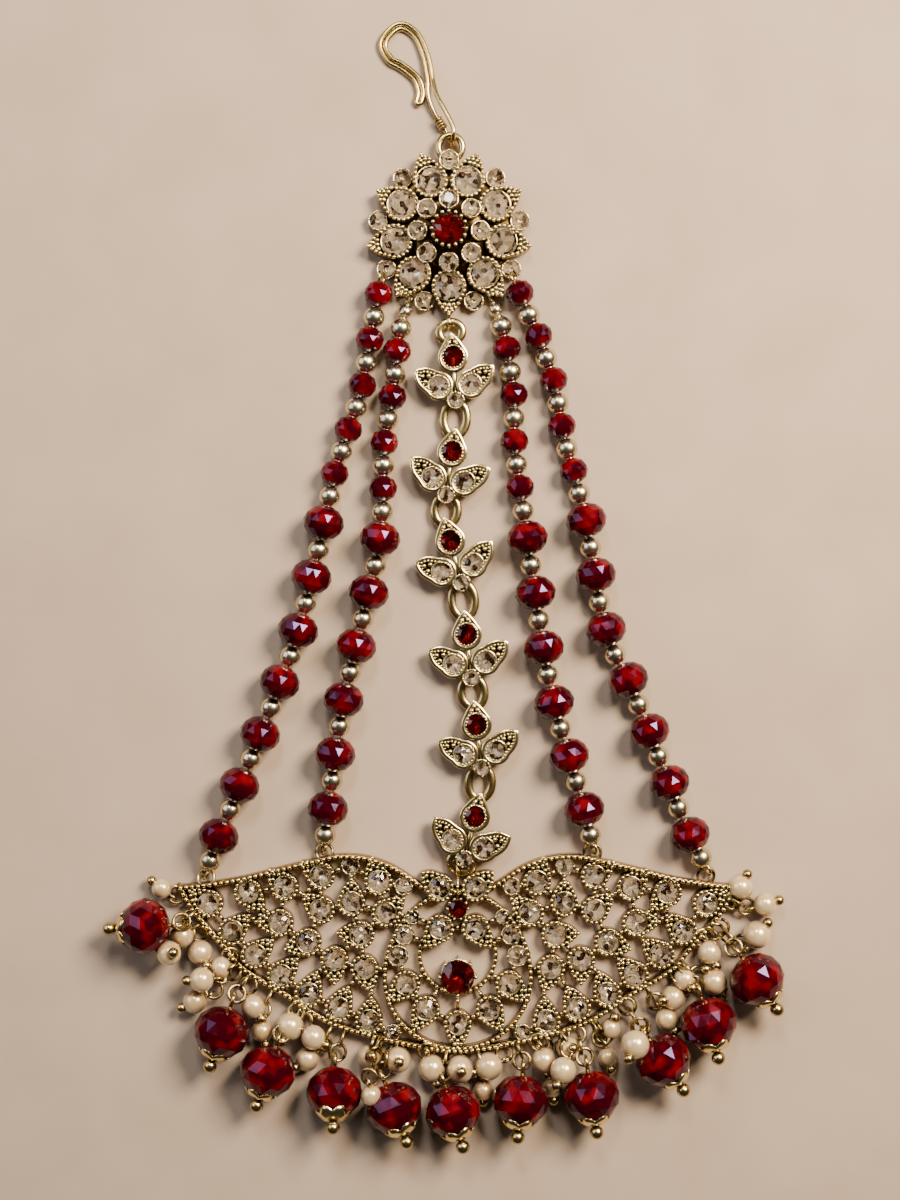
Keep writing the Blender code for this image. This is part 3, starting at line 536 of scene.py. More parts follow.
def ring_shape(radius, wire, around=22, section=8, stretch=1.0):
    """A round or oval wire ring about Z."""
    points = []
    for step in range(around):
        angle = math.tau * step / around
        for spot in circle(wire, section):
            reach = radius + spot.x
            points.append(Vector((reach * math.cos(angle), reach * stretch * math.sin(angle), spot.y)))
    return points, grid_faces(around, section, True)


def ball_shape(rounds):
    bm = bmesh.new()
    bmesh.ops.create_icosphere(bm, subdivisions=rounds, radius=1.0)
    bm.verts.index_update()
    shape = [vert.co.copy() for vert in bm.verts], [tuple(v.index for v in face.verts) for face in bm.faces]
    bm.free()
    return shape


def crown_shape(table=0.55, height=0.34):
    """The clear upper part of a round cut stone: table, 8 stars, 8 kites and 16 edge facets."""
    points = circle(table, 8, height) + circle(0.79, 8, height * 0.5, 0.5) + circle(1.0, 16)
    faces = [tuple(range(8))]
    for step in range(8):
        star = 8 + step
        edge = 16 + 2 * step
        last = 16 + (2 * step + 2) % 16
        faces.append((step, star, (step + 1) % 8))
        faces.append((step, 8 + (step - 1) % 8, edge, star))
        faces.append((star, edge, edge + 1))
        faces.append((star, edge + 1, last))
    return points, faces


def pavilion_shape():
    """The foiled underside of a round cut stone: 8 long facets to the point and 16 edge facets."""
    points = circle(1.0, 16) + circle(0.4, 8, -0.68, 0.5) + [Vector((0, 0, -1))]
    faces = []
    for step in range(8):
        inner = 16 + step
        edge = 2 * step
        last = (edge + 2) % 16
        faces.append((edge, 16 + (step - 1) % 8, 24, inner))
        faces.append((inner, edge + 1, edge))
        faces.append((inner, last, edge + 1))
    return points, faces


def faceted_shape(sides, levels):
    """A faceted bead about Z: rings at (height, radius), each turned by half a facet."""
    points = []
    faces = []
    for number, (height, radius) in enumerate(levels):
        points += circle(radius, sides, height, number % 2 / 2)
    for number in range(len(levels) - 1):
        low = number * sides
        high = low + sides
        for step in range(sides):
            after = (step + 1) % sides
            if number % 2 == 0:
                faces.append((low + step, low + after, high + step))
                faces.append((low + after, high + after, high + step))
            else:
                faces.append((low + step, low + after, high + after))
                faces.append((low + step, high + after, high + step))
    faces.append(tuple(range(sides))[::-1])
    faces.append(tuple(range(len(points) - sides, len(points))))
    return points, faces


def as_array(shape):
    return np.array([tuple(spot) for spot in shape[0]]), shape[1]


GRAIN = as_array(ball_shape(2))
BALL = as_array(ball_shape(3))
PEARL = as_array(ball_shape(4))
CROWN = as_array(crown_shape())
PAVILION = as_array(pavilion_shape())
SMALL_RED = as_array(faceted_shape(12, (
    (-1.0, 0.34), (-0.72, 0.78), (-0.2, 1.0), (0.2, 1.0), (0.72, 0.78), (1.0, 0.34),
)))
LARGE_RED = as_array(faceted_shape(15, (
    (-1.0, 0.3), (-0.84, 0.62), (-0.46, 0.9), (0.0, 1.0), (0.46, 0.9), (0.84, 0.62), (1.0, 0.3),
)))


class Heap:
    """The shapes of one piece, gathered as points and faces, each face with its finish."""

    def __init__(self):
        self.points = []
        self.count = 0
        self.faces = []
        self.finishes = []
        self.smooth = []

    def add(self, shape, place, finish, smooth=True):
        points, faces = shape
        if isinstance(points, list):
            points = np.array([tuple(spot) for spot in points])
        turn = np.array(place)
        self.points.append(points @ turn[:3, :3].T + turn[:3, 3])
        start = self.count
        self.faces += [tuple(start + corner for corner in face) for face in faces]
        self.finishes += [finish] * len(faces)
        self.smooth += [smooth] * len(faces)
        self.count += len(points)

    def ball(self, spot, radius, finish, shape=GRAIN):
        self.add(shape, Matrix.Translation(spot) @ Matrix.Scale(radius, 4), finish)

    def ring(self, middle, way, radius, wire, finish, **sizes):
        shape = ring_shape(radius, wire, **sizes)
        self.add(shape, Matrix.Translation(middle) @ facing(way), finish)


def make_piece(name, heap, nodes):
    """Turns a heap into an object that stands for these nodes of the CAD model."""
    mesh = bpy.data.meshes.new(name)
    mesh.from_pydata((np.concatenate(heap.points) * MM).tolist(), [], heap.faces)
    used = sorted(set(heap.finishes))
    for finish in used:
        mesh.materials.append(finishes[finish])
    order = {finish: number for number, finish in enumerate(used)}
    mesh.polygons.foreach_set("material_index", [order[finish] for finish in heap.finishes])
    mesh.polygons.foreach_set("use_smooth", heap.smooth)
    mesh.update()
    piece = bpy.data.objects.new(name, mesh)
    bpy.context.scene.collection.objects.link(piece)
    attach(piece, "root")
    if nodes:
        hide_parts(*nodes)
    return piece


# Finishes


def linear(hex_colour):
    """An sRGB colour such as #c8b080 as the renderer's linear values."""
    channels = [int(hex_colour[start:start + 2], 16) / 255 for start in (1, 3, 5)]
    return (*((c / 12.92 if c <= 0.04045 else ((c + 0.055) / 1.055) ** 2.4) for c in channels), 1.0)


def node(tree, kind, values=None, links=None, **settings):
    """Adds a node; values and links go to its sockets, settings to its own options."""
    made = tree.nodes.new(kind)
    for name, setting in settings.items():
        setattr(made, name, setting)
    for socket, value in (values or {}).items():
        made.inputs[socket].default_value = value
    for socket, (source, output) in (links or {}).items():
        tree.links.new(source.outputs[output], made.inputs[socket])
    return made


def new_finish(name):
    """An empty material, its node tree, and the link that tells where on the piece a spot lies."""
    made = bpy.data.materials.new(name)
    made.use_nodes = True
    tree = made.node_tree
    tree.nodes.clear()
    return made, tree, (node(tree, "ShaderNodeTexCoord"), "Object")


def close_finish(made, shader):
    node(made.node_tree, "ShaderNodeOutputMaterial", links={"Surface": (shader, 0)})
    return made


# The sockets that hold the two colours and the blend of a Mix node
FIRST, SECOND, BLENDED = 6, 7, 2


def antique_gilt(name, dull, bright):
    """Cast zinc alloy plated with pale gold, dipped in dark patina and rubbed back.

    The rubbing leaves bright high spots and brown-black corners, which are partly patina and partly
    painted shade where the AO node finds recesses; the casting skin is faintly uneven, which breaks
    up the highlights.
    """
    made, tree, place = new_finish(name)
    wear = node(tree, "ShaderNodeTexNoise", {"Scale": 1 / (2.2 * MM), "Detail": 3.0}, {"Vector": place})
    gold = node(
        tree, "ShaderNodeMix", {FIRST: linear(dull), SECOND: linear(bright)}, {0: (wear, 0)},
        data_type="RGBA",
    )
    # Painted shade, partly real patina: the colour turns brown-black where AO finds corners and recesses
    corner = node(tree, "ShaderNodeAmbientOcclusion", {"Distance": 0.7 * MM}, samples=4)
    rubbed = node(tree, "ShaderNodeMapRange", {"From Min": 0.4, "From Max": 0.85}, {0: (corner, "AO")})
    colour = node(
        tree, "ShaderNodeMix", {FIRST: linear("#160d05")}, {0: (rubbed, 0), SECOND: (gold, BLENDED)},
        data_type="RGBA",
    )
    rough = node(tree, "ShaderNodeMapRange", {"To Min": 0.5, "To Max": 0.2}, {0: (rubbed, 0)})
    skin = node(tree, "ShaderNodeTexNoise", {"Scale": 1 / (0.35 * MM)}, {"Vector": place})
    bump = node(tree, "ShaderNodeBump", {"Strength": 0.3, "Distance": 0.03 * MM}, {"Height": (skin, 0)})
    shader = node(
        tree, "ShaderNodeBsdfPrincipled", {"Metallic": 1.0},
        {"Base Color": (colour, BLENDED), "Roughness": (rough, 0), "Normal": (bump, 0)},
    )
    return close_finish(made, shader)


def mottled(name, patch_mm, detail, dull, bright, surface, rough=None):
    """A finish that drifts in patches between two colours, and between two roughnesses with them."""
    made, tree, place = new_finish(name)
    drift = node(
        tree, "ShaderNodeTexNoise", {"Scale": 1 / (patch_mm * MM), "Detail": detail}, {"Vector": place},
    )
    colour = node(
        tree, "ShaderNodeMix", {FIRST: linear(dull), SECOND: linear(bright)}, {0: (drift, 0)},
        data_type="RGBA",
    )
    links = {"Base Color": (colour, BLENDED)}
    if rough:
        worn = node(tree, "ShaderNodeMapRange", {"To Min": rough[0], "To Max": rough[1]}, {0: (drift, 0)})
        links["Roughness"] = (worn, 0)
    return close_finish(made, node(tree, "ShaderNodeBsdfPrincipled", surface, links))


def flashing(name, patch_mm, edges, dark, light, surface, **options):
    """A finish of dark and light patches for what the facets mirror, with softer or harder edges."""
    made, tree, place = new_finish(name)
    # Painted reflections and glow: light and dark patches of colour, each about a facet wide
    facets = node(
        tree, "ShaderNodeTexVoronoi", {"Scale": 1 / (patch_mm * MM)}, {"Vector": place}, **options,
    )
    low, high = edges
    flash = node(tree, "ShaderNodeMapRange", {"From Min": low, "From Max": high}, {0: (facets, "Color")})
    colour = node(
        tree, "ShaderNodeMix", {FIRST: linear(dark), SECOND: linear(light)}, {0: (flash, 0)},
        data_type="RGBA",
    )
    shader = node(tree, "ShaderNodeBsdfPrincipled", surface, {"Base Color": (colour, BLENDED)})
    return close_finish(made, shader)


def gilt_wire():
    """Drawn brass wire, plated pale gold: smooth, with duller patches."""
    return mottled("gilt_wire", 1.4, 3.0, "#8a6e3c", "#e2cc8c", {"Metallic": 1.0}, (0.34, 0.14))


def tarnished_wire():
    """Thin brass jump rings, unlacquered and browned: dull gold where touched, dark elsewhere."""
    made, tree, place = new_finish("tarnished_wire")
    wear = node(tree, "ShaderNodeTexNoise", {"Scale": 1 / (0.9 * MM), "Detail": 3.0}, {"Vector": place})
    worn = node(tree, "ShaderNodeMapRange", {"From Min": 0.36, "From Max": 0.58}, {0: (wear, 0)})
    colour = node(
        tree, "ShaderNodeMix", {FIRST: linear("#2e2212"), SECOND: linear("#c8ae70")}, {0: (worn, 0)},
        data_type="RGBA",
    )
    shader = node(
        tree, "ShaderNodeBsdfPrincipled", {"Metallic": 1.0, "Roughness": 0.3},
        {"Base Color": (colour, BLENDED)},
    )
    return close_finish(made, shader)


def pale_metal_bead():
    """Hollow brass beads with a pale silver-gold flash: polished in a drum, rubbed duller in places."""
    return mottled("pale_metal_bead", 1.8, 2.0, "#b5a27c", "#ecdfbe", {"Metallic": 1.0}, (0.34, 0.18))


def crystal(name, clear, cloudy):
    """Cut lead glass, polished: clear, with the faintest unevenness of colour."""
    surface = {"Transmission Weight": 1.0, "Roughness": 0.01, "IOR": 1.54}
    return mottled(name, 1.5, 2.0, clear, cloudy, surface)


def foil(name, dark, light, glint_mm):
    """The metal foil behind a cut stone, mirror-like under the facets.

    A stone throws the room back in small pieces; these are painted reflections in the foil's colour:
    next to a facet that flashes lies one that shows only the dark of its setting.
    """
    # Painted reflections: the foil's colour flashes between dark and light patches
    return flashing(name, glint_mm, (0.26, 0.6), dark, light, {"Metallic": 0.7, "Roughness": 0.12})


def red_glass():
    """Machine-cut red glass beads: deep and half clear, with a thin violet coating.

    Light goes into the red body and comes out of some facets brighter than of others; this glow is
    painted into the colour as brighter and darker patches. The coating turns the highlights lilac.
    """
    surface = {
        "Transmission Weight": 0.04, "Roughness": 0.09, "IOR": 1.5, "Specular IOR Level": 0.4,
        "Specular Tint": linear("#cfb6ff"),
    }
    # Painted glow: patches of darker and brighter red for the light that the facets let out
    return flashing("red_glass", 1.3, (0.35, 0.75), "#2c0006", "#600309", surface, feature="SMOOTH_F1")


def cream_pearl():
    """Imitation pearls: cream lacquer over glass, with a soft deep shine and golden shading.

    Where a pearl meets its neighbours or the table, its colour is darkened to honey brown: painted shade.
    """
    made, tree, place = new_finish("cream_pearl")
    # Painted shade: dark honey brown wherever AO finds a neighbour or the table close by
    corner = node(tree, "ShaderNodeAmbientOcclusion", {"Distance": 2.5 * MM}, samples=4)
    shade = node(tree, "ShaderNodeMapRange", {"From Min": 0.25, "From Max": 0.9}, {0: (corner, "AO")})
    lacquer = node(tree, "ShaderNodeTexNoise", {"Scale": 1 / (1.6 * MM), "Detail": 2.0}, {"Vector": place})
    cream = node(
        tree, "ShaderNodeMix", {FIRST: linear("#c0965a"), SECOND: linear("#f0d8a8")}, {0: (lacquer, 0)},
        data_type="RGBA",
    )
    colour = node(
        tree, "ShaderNodeMix", {FIRST: linear("#6b421a")}, {0: (shade, 0), SECOND: (cream, BLENDED)},
        data_type="RGBA",
    )
    shader = node(
        tree, "ShaderNodeBsdfPrincipled",
        {"Metallic": 0.4, "Roughness": 0.27, "Coat Weight": 0.8, "Coat Roughness": 0.08,
         "Sheen Weight": 0.1},
        {"Base Color": (colour, BLENDED)},
    )
    return close_finish(made, shader)


def waxed_thread():
    """Brown waxed thread inside the beads: matt, with a faint twist of light and dark."""
    return mottled("waxed_thread", 0.4, 2.0, "#3a2c1c", "#6a5638", {"Roughness": 0.7})


def table_paint():
    """A pale warm matt table top with very soft mottling."""
    return mottled("table_paint", 14.0, 4.0, "#9c8670", "#b09a85", {"Roughness": 0.85})


finishes = {
    "gilt": antique_gilt("antique_gilt", "#d6b66c", "#ffecb0"),
    # A darker copy of the gilt for tray walls and bands: painted shade under and between the bright beading
    "band": antique_gilt("painted_shade_gilt", "#6c4e26", "#c09c5c"),
    # The darkest copy of the gilt, for floors, filled points and the dome: patina and painted shade in
    # hollows
    "patina": antique_gilt("patina_and_shade_floor", "#2e2010", "#6e5430"),
    "wire": gilt_wire(),
    "tarnished": tarnished_wire(),
    "metal_bead": pale_metal_bead(),
    "crystal": crystal("clear_crystal", "#fbf3ea", "#ffffff"),
    "champagne_foil": foil("champagne_foil", "#523a26", "#ffecce", 0.62),
    "red_crystal": crystal("red_crystal", "#8a0c16", "#a8141f"),
    "red_foil": foil("red_foil", "#6a0810", "#c83840", 0.8),
    "red_glass": red_glass(),
    "pearl": cream_pearl(),
    "thread": waxed_thread(),
}


# Settings and stones


def add_stone(heap, place, radius, height, red=False):
    """A foil-backed cut stone, turned and leaning a little, as no two are set alike.

    Its underside is as deep as the tray lets it be.
    """
    spin = Matrix.Rotation(chance.uniform(0, math.tau), 4, "Z")
    most = RED_STONE_LEAN if red else STONE_LEAN
    lean = Matrix.Rotation(math.radians(chance.uniform(-most, most)), 4, "X")
    spot = place @ Matrix.Translation((0, 0, height)) @ spin @ lean
    depth = min(radius * STONE_DEPTH, height - STONE_OVER_FLOOR)
    heap.add(CROWN, spot @ Matrix.Scale(radius, 4), "red_crystal" if red else "crystal", smooth=False)
    under = Matrix.Diagonal((radius, radius, depth, 1))
    heap.add(PAVILION, spot @ under, "red_foil" if red else "champagne_foil", smooth=False)


def add_milgrain(heap, place, path, radius=MILGRAIN_RADIUS, pitch=MILGRAIN_PITCH, closed=True):
    for spot in spaced(path, pitch, closed):
        heap.ball(place @ spot, radius, "gilt")


def wall_section(half_width, height, edge=0.08):
    return (
        (-half_width, 0), (half_width, 0), (half_width, height - edge), (half_width - edge, height),
        (edge - half_width, height), (-half_width, height - edge),
    )


def add_pear(heap, place, radius, tip, wall, stone, grains, red=False, bulge=0.0, fine=False):
    """A teardrop tray: floor, wall, beaded edge, stone with its collar, and grains in its point.

    A fine one has a smooth rim with smaller beading just inside it.
    """
    outline = pear(radius, tip, bulge)
    half_wall = FINE_HALF_WALL if fine else TRAY_HALF_WALL
    path = inset(outline, TRAY_INSET)
    point = [spot for spot in path if spot.x > stone * 0.9]
    split = next(step for step in range(len(point)) if point[step - 1].y < 0 <= point[step].y)
    point = point[split:] + point[:split]
    # Floor and filled point take the darkest gilt, patina and painted shade in the hollow
    heap.add(slab(path, 0, TRAY_FLOOR), place, "patina", smooth=False)
    heap.add(slab(point, TRAY_FLOOR, wall - POINT_FILL_DOWN), place, "patina", smooth=False)
    # A plain tray's wall takes the darker gilt, painted shade under its bright beading
    heap.add(swept(path, wall_section(half_wall, wall)), place, "gilt" if fine else "band")
    if fine:
        beads = raised(inset(outline, 2 * half_wall + FINE_BEADS_INSIDE), wall - FINE_BEADS_DOWN)
        add_milgrain(heap, place, beads, FINE_MILGRAIN_RADIUS, FINE_MILGRAIN_PITCH)
    else:
        add_milgrain(heap, place, raised(path, wall + MILGRAIN_UP))
    collar = ring_shape(stone + COLLAR_OUTSIDE, COLLAR_WIRE, around=18, section=6)
    heap.add(collar, place @ Matrix.Translation((0, 0, wall - COLLAR_DOWN)), "gilt")
    add_stone(heap, place, stone, wall - STONE_DOWN, red)
    for x, y in grains:
        heap.ball(place @ Vector((x, y, wall - GRAIN_DOWN)), GRAIN_RADIUS, "gilt")


def add_round(heap, place, radius, wall, beads=5):
    """A small cup with a cut stone held by a few pushed-over beads."""
    cup = (
        (HUB, 0), (radius * CUP_FOOT, 0), (radius - 0.04, wall * 0.8), (radius - 0.04, wall),
        (radius - 0.22, wall), (radius - 0.3, wall - CUP_DEPTH), (HUB, wall - CUP_DEPTH),
    )
    heap.add(turned_shape(cup), place, "gilt")
    add_stone(heap, place, radius - CUP_STONE_INSIDE, wall - CUP_STONE_DOWN)
    for spot in circle(radius - CUP_BEAD_INSIDE, beads, wall + CUP_BEAD_UP):
        heap.ball(place @ spot, CUP_BEAD_RADIUS, "gilt")


def add_claws(heap, middle, stone, outside, count, low, high, bead):
    """Upright claws round a stone, each ending in a bead."""
    post = turned_shape(((bead * 0.6, low), (bead * 0.6, high)), 8)
    for spot in circle(stone + outside, count):
        heap.add(post, Matrix.Translation(middle + spot), "gilt")
        heap.ball(middle + spot + Vector((0, 0, high)), bead, "gilt")


# Hook and rosette


def build_hook():
    """Two wires side by side, joined by the fold at the tip and by the loop round the bail."""
    middle = smooth_route([Vector(point) for point in HOOK_ROUTE], HOOK_SAMPLES)
    sides = ([], [])
    for number, point in enumerate(middle):
        before = middle[max(number - 1, 0)]
        after = middle[min(number + 1, len(middle) - 1)]
        along = (after - before).normalized()
        aside = Vector((along.y, -along.x, 0)).normalized() * HOOK_PAIR_SPACING / 2
        sides[0].append(point + aside)
        sides[1].append(point - aside)
    fold = middle[0] + (middle[0] - middle[1]).normalized() * HOOK_PAIR_SPACING * 0.5
    ends = [sides[1][-1], *(Vector(point) for point in HOOK_LOOP), sides[0][-1]]
    path = [fold] + sides[1] + smooth_route(ends, HOOK_LOOP_SAMPLES)[1:-1] + sides[0][::-1]
    heap = Heap()
    heap.add(swept(path, round_section(HOOK_WIRE_RADIUS, 12)), Matrix(), "wire")
    for turn in range(HOOK_WRAP_TURNS):
        shift = (turn - (HOOK_WRAP_TURNS - 1) / 2) * HOOK_WRAP_PITCH
        spot = HOOK_WRAP + HOOK_WRAP_WAY.normalized() * shift
        heap.ring(spot, HOOK_WRAP_WAY, HOOK_WRAP_RADIUS, HOOK_WRAP_WIRE, "tarnished", section=6)
    make_piece("folded_wire_hook", heap, ["hook"])


def build_rosette():
    heap = Heap()
    # The dome takes the darkest gilt, patina and painted shade under the settings
    heap.add(turned_shape(DOME_PROFILE, 48), Matrix(), "patina")
    for step in range(PETAL_COUNT):
        turn = math.radians(-90) + math.tau * step / PETAL_COUNT
        lean = Matrix.Rotation(math.radians(chance.uniform(1, 5)), 4, "Y")
        add_pear(heap, at(polar(PETAL_RING_RADIUS, turn, PETAL_LIFT), turn) @ lean, **ROSETTE_PETAL)
        turn += math.pi / PETAL_COUNT
        low = TOP_ROUND_LOW if abs(math.cos(turn)) < 0.01 else 0.0
        place = at(polar(OUTER_ROUND_RING_RADIUS, turn, low), turn)
        add_round(heap, place, OUTER_ROUND_RADIUS, OUTER_ROUND_WALL)
    lean = Matrix.Rotation(INNER_ROUND_LEAN, 4, "Y")
    for step in range(INNER_ROUND_COUNT):
        turn = math.radians(90) + math.tau * step / INNER_ROUND_COUNT
        place = at(polar(INNER_ROUND_RING_RADIUS, turn, INNER_ROUND_LOW), turn) @ lean
        add_round(heap, place, INNER_ROUND_RADIUS, INNER_ROUND_WALL)
    add_claws(heap, Vector((0, 0, 0)), ROSETTE_RUBY_RADIUS, **ROSETTE_CLAWS)
    heap.ring(BAIL, (0, 0, 1), BAIL_RADIUS, BAIL_WIRE_RADIUS, "wire", around=32, section=12)
    heap.ring(ROSETTE_EYE, (1, 0, 0), EYE_RADIUS, EYE_WIRE_RADIUS, "gilt")
    make_piece("rosette_of_stones", heap, ["rosette"])


def build_ruby(name, middle, radius, low):
    heap = Heap()
    add_stone(heap, Matrix.Translation(middle), radius, low + RUBY_GIRDLE, red=True)
    make_piece(name + "_red_stone", heap, [name + "_ruby"])


# Bead strings


def string_beads(length, lead):
    """(length, radius, kind) of each bead from the rosette to the rim."""
    metal = (METAL_BEAD_LENGTH, METAL_BEAD_DIAMETER / 2, "metal")
    small = (SMALL_RED_LENGTH, SMALL_RED_DIAMETER / 2, "small")
    large = (LARGE_RED_LENGTH, LARGE_RED_DIAMETER / 2, "large")
    beads = []
    reds = 0
    if lead:
        beads = [(LEAD_BEAD_DIAMETER, LEAD_BEAD_DIAMETER / 2, "metal"), metal]
        reds = 1
    used = sum(bead[0] for bead in beads)
    while True:
        red = small if reds < SMALL_RED_COUNT else large
        used += red[0] + metal[0]
        if used > length + METAL_BEAD_LENGTH / 2:
            return beads
        beads += [red, metal]
        reds += 1


def add_bead(heap, place, length, radius, kind):
    if kind == "metal":
        size = Matrix.Diagonal((radius, radius, length / 2, 1))
        heap.add(BALL, place @ size, "metal_bead")
        hole_rim = ring_shape(radius * HOLE_RIM_RADIUS, HOLE_RIM_WIRE, section=6)
        for end in (-1, 1):
            spot = Matrix.Translation((0, 0, end * length * HOLE_RIM_AT))
            heap.add(hole_rim, place @ spot, "metal_bead")
        return
    size = Matrix.Diagonal((radius, radius, length * RED_BEAD_HALF, 1))
    spin = Matrix.Rotation(chance.uniform(0, math.tau), 4, "Z")
    heap.add(SMALL_RED if kind == "small" else LARGE_RED, place @ size @ spin, "red_glass", smooth=False)


def build_string(name, rim):
    route = [
        Vector((across * PLATE_HALF_SPAN, -down * PLATE_FALL, 0)) for across, down in STRING_ROUTES[name]
    ]
    lengths = route_lengths(route)
    beads = string_beads(lengths[-1], name in INNER_STRINGS)
    stretch = lengths[-1] / sum(bead[0] for bead in beads)
    heap = Heap()
    thread = []
    start = 0.0
    for length, radius, kind in beads:
        ends = [along_route(route, lengths, start + length * stretch * share) for share in BEAD_GRIP]
        middle = (ends[0] + ends[1]) / 2 + Vector((0, 0, radius))
        add_bead(heap, Matrix.Translation(middle) @ facing(ends[0] - ends[1]), length, radius, kind)
        thread.append(middle)
        start += length * stretch
    first_way = (thread[0] - thread[1]).normalized()
    last_way = (thread[-1] - thread[-2]).normalized()
    thread = [thread[0] + first_way * THREAD_START] + thread + [thread[-1] + last_way * THREAD_END]
    for end in (thread[0], thread[-1]):
        end.z = max(end.z, THREAD_LOW)
    heap.add(swept(thread, round_section(THREAD_RADIUS, 6), closed=False), Matrix(), "thread")
    for spot, way in ((thread[0], first_way), (thread[-1], last_way)):
        aside = Vector((way.y, -way.x, END_LOOP_LEAN))
        heap.ring(spot, aside, END_LOOP_RADIUS, PIN_WIRE_RADIUS, "wire", around=16)
    hang(heap, thread[-1], rim)
    make_piece("beads_" + name, heap, ["bead_string_" + name])


# Centre chain


def link_frame(number):
    """Where a link's red stone is, and how the link is turned."""
    across, along, degrees = LINK_REST[number]
    middle = Vector((across * LINK_PITCH, -CHAIN_HEAD - (number - along) * LINK_PITCH, 0))
    return middle, math.radians(degrees)


def link_place(number, x, y, height, turn=0.0):
    middle, lie = link_frame(number)
    return at(middle, lie) @ at(Vector((x, y, height)), turn)


def build_link(number):
    heap = Heap()
    top = link_place(number, 0, 0, LINK_LIFT, math.pi / 2)
    add_pear(heap, top, **LINK_TOP)
    for side in (-1, 1):
        turn = LINK_SIDE_TURN if side > 0 else math.pi - LINK_SIDE_TURN
        place = link_place(number, side * LINK_SIDE_ACROSS, -LINK_SIDE_DOWN, LINK_LIFT, turn)
        add_pear(heap, place, **LINK_SIDE)
    place = link_place(number, 0, -LINK_ROUND_DOWN, LINK_LIFT)
    add_round(heap, place, LINK_ROUND_RADIUS, LINK_WALL, beads=4)
    bar = turned_shape(((LINK_BAR_RADIUS, -LINK_ROUND_DOWN), (LINK_BAR_RADIUS, 0)), 8)
    lie = link_place(number, 0, 0, LINK_LIFT + LINK_BAR_UP) @ facing((0, 1, 0))
    heap.add(bar, lie, "gilt")
    across = Matrix.Rotation(link_frame(number)[1], 3, "Z") @ Vector((1, 0, 0))
    for y in (TOP_EYE_UP, -LINK_ROUND_DOWN):
        eye = link_place(number, 0, y, EYE_HEIGHT).translation
        heap.ring(eye, across, EYE_RADIUS, EYE_WIRE_RADIUS, "gilt")
    make_piece(f"petal_link_{number + 1}", heap, [f"chain_link_{number + 1}"])


def plate_point(across, up, height=0.0):
    return Vector((PLATE_SHIFT + across * PLATE_HALF_SPAN, -PLATE_FALL + up * PLATE_DEPTH, height))


def build_connector(number):
    """The flat oval ring above a link, or below the last one."""
    start = ROSETTE_EYE
    if number:
        start = link_place(number - 1, 0, -LINK_ROUND_DOWN, EYE_HEIGHT).translation
    end = plate_point(0, 0, EYE_HEIGHT) + Vector((0, PLATE_EYE_UP, 0))
    if number < LINK_COUNT:
        end = link_place(number, 0, TOP_EYE_UP, EYE_HEIGHT).translation
    middle = (start + end) / 2
    long_way = (end - start) / 2
    wide_way = Vector((-long_way.y, long_way.x, 0)).normalized() * CONNECTOR_HALF_WIDTH
    path = [middle + long_way * spot.x + wide_way * spot.y for spot in circle(1.0, 36)]
    heap = Heap()
    heap.add(swept(path, round_section(CONNECTOR_BAND, 12, CONNECTOR_FLATNESS)), Matrix(), "wire")
    name = f"connector_ring_{number + 1}"
    make_piece("oval_" + name, heap, [name])


# Crescent plate


def mirrored(rows):
    """Each setting of the right-hand half and its mirror image: (across, up, degrees)."""
    for across, up, degrees in rows:
        yield across, up, degrees
        yield -across, up, 180 - degrees


def rim_paths():
    """The two upper edges and the lower edge of the rim, each from left to right."""
    right_top = smooth_route([plate_point(*spot) for spot in reversed(RIM_TOP)], 6)
    left_top = smooth_route([plate_point(-across, up) for across, up in RIM_TOP], 6)
    half = list(RIM_BOTTOM)
    lower = [(-across, up) for across, up in half] + half[-2::-1]
    bottom = smooth_route([plate_point(*spot) for spot in lower], 6)
    return left_top, right_top, bottom


def rim_outline():
    left_top, right_top, bottom = rim_paths()
    return bottom + right_top[::-1] + left_top[::-1]


def egg_outline(count=64):
    middle = plate_point(0, EGG_MIDDLE_UP)
    points = []
    for spot in circle(1.0, count):
        reach = EGG_UP if spot.y > 0 else EGG_DOWN
        points.append(middle + Vector((spot.x * EGG_HALF_WIDTH, spot.y * reach, 0)))
    return points


def add_beaded_band(heap, outline, height, half_width):
    """A flat band inside an outline, with beading along the middle of its top."""
    path = inset(outline, half_width)
    # The band takes the darker gilt, painted shade under its bright beading
    heap.add(swept(path, wall_section(half_width, height, 0.12)), Matrix(), "band")
    beads = raised(path, height + BAND_BEADS_UP)
    add_milgrain(heap, Matrix(), beads, RIM_GRAIN_RADIUS, RIM_GRAIN_PITCH)


def add_tie(heap, start, end):
    """A short bar soldered between two settings, with a bead on it."""
    start = Vector((start.x, start.y, TIE_HEIGHT))
    end = Vector((end.x, end.y, TIE_HEIGHT))
    if (end - start).length < TIE_SHORTEST:
        return
    heap.add(swept([start, end], round_section(TIE_RADIUS, 8), closed=False), Matrix(), "gilt")
    heap.ball((start + end) / 2 + Vector((0, 0, TIE_BEAD_UP)), TIE_BEAD_RADIUS, "gilt")


def add_ties(heap, seats, bands):
    """Ties wherever two settings, or a setting and a band, lie a small gap apart."""
    for first, (spot, radius) in enumerate(seats):
        for other, other_radius in seats[first + 1:]:
            way = other - spot
            if 0 < way.length - radius - other_radius < TIE_GAP:
                way.normalize()
                add_tie(heap, spot + way * (radius - TIE_SINK), other - way * (other_radius - TIE_SINK))
        for band in bands:
            near = nearest_on(band, spot)
            way = near - spot
            if 0 < way.length - radius < TIE_GAP:
                add_tie(heap, spot + way.normalized() * (radius - TIE_SINK), near)


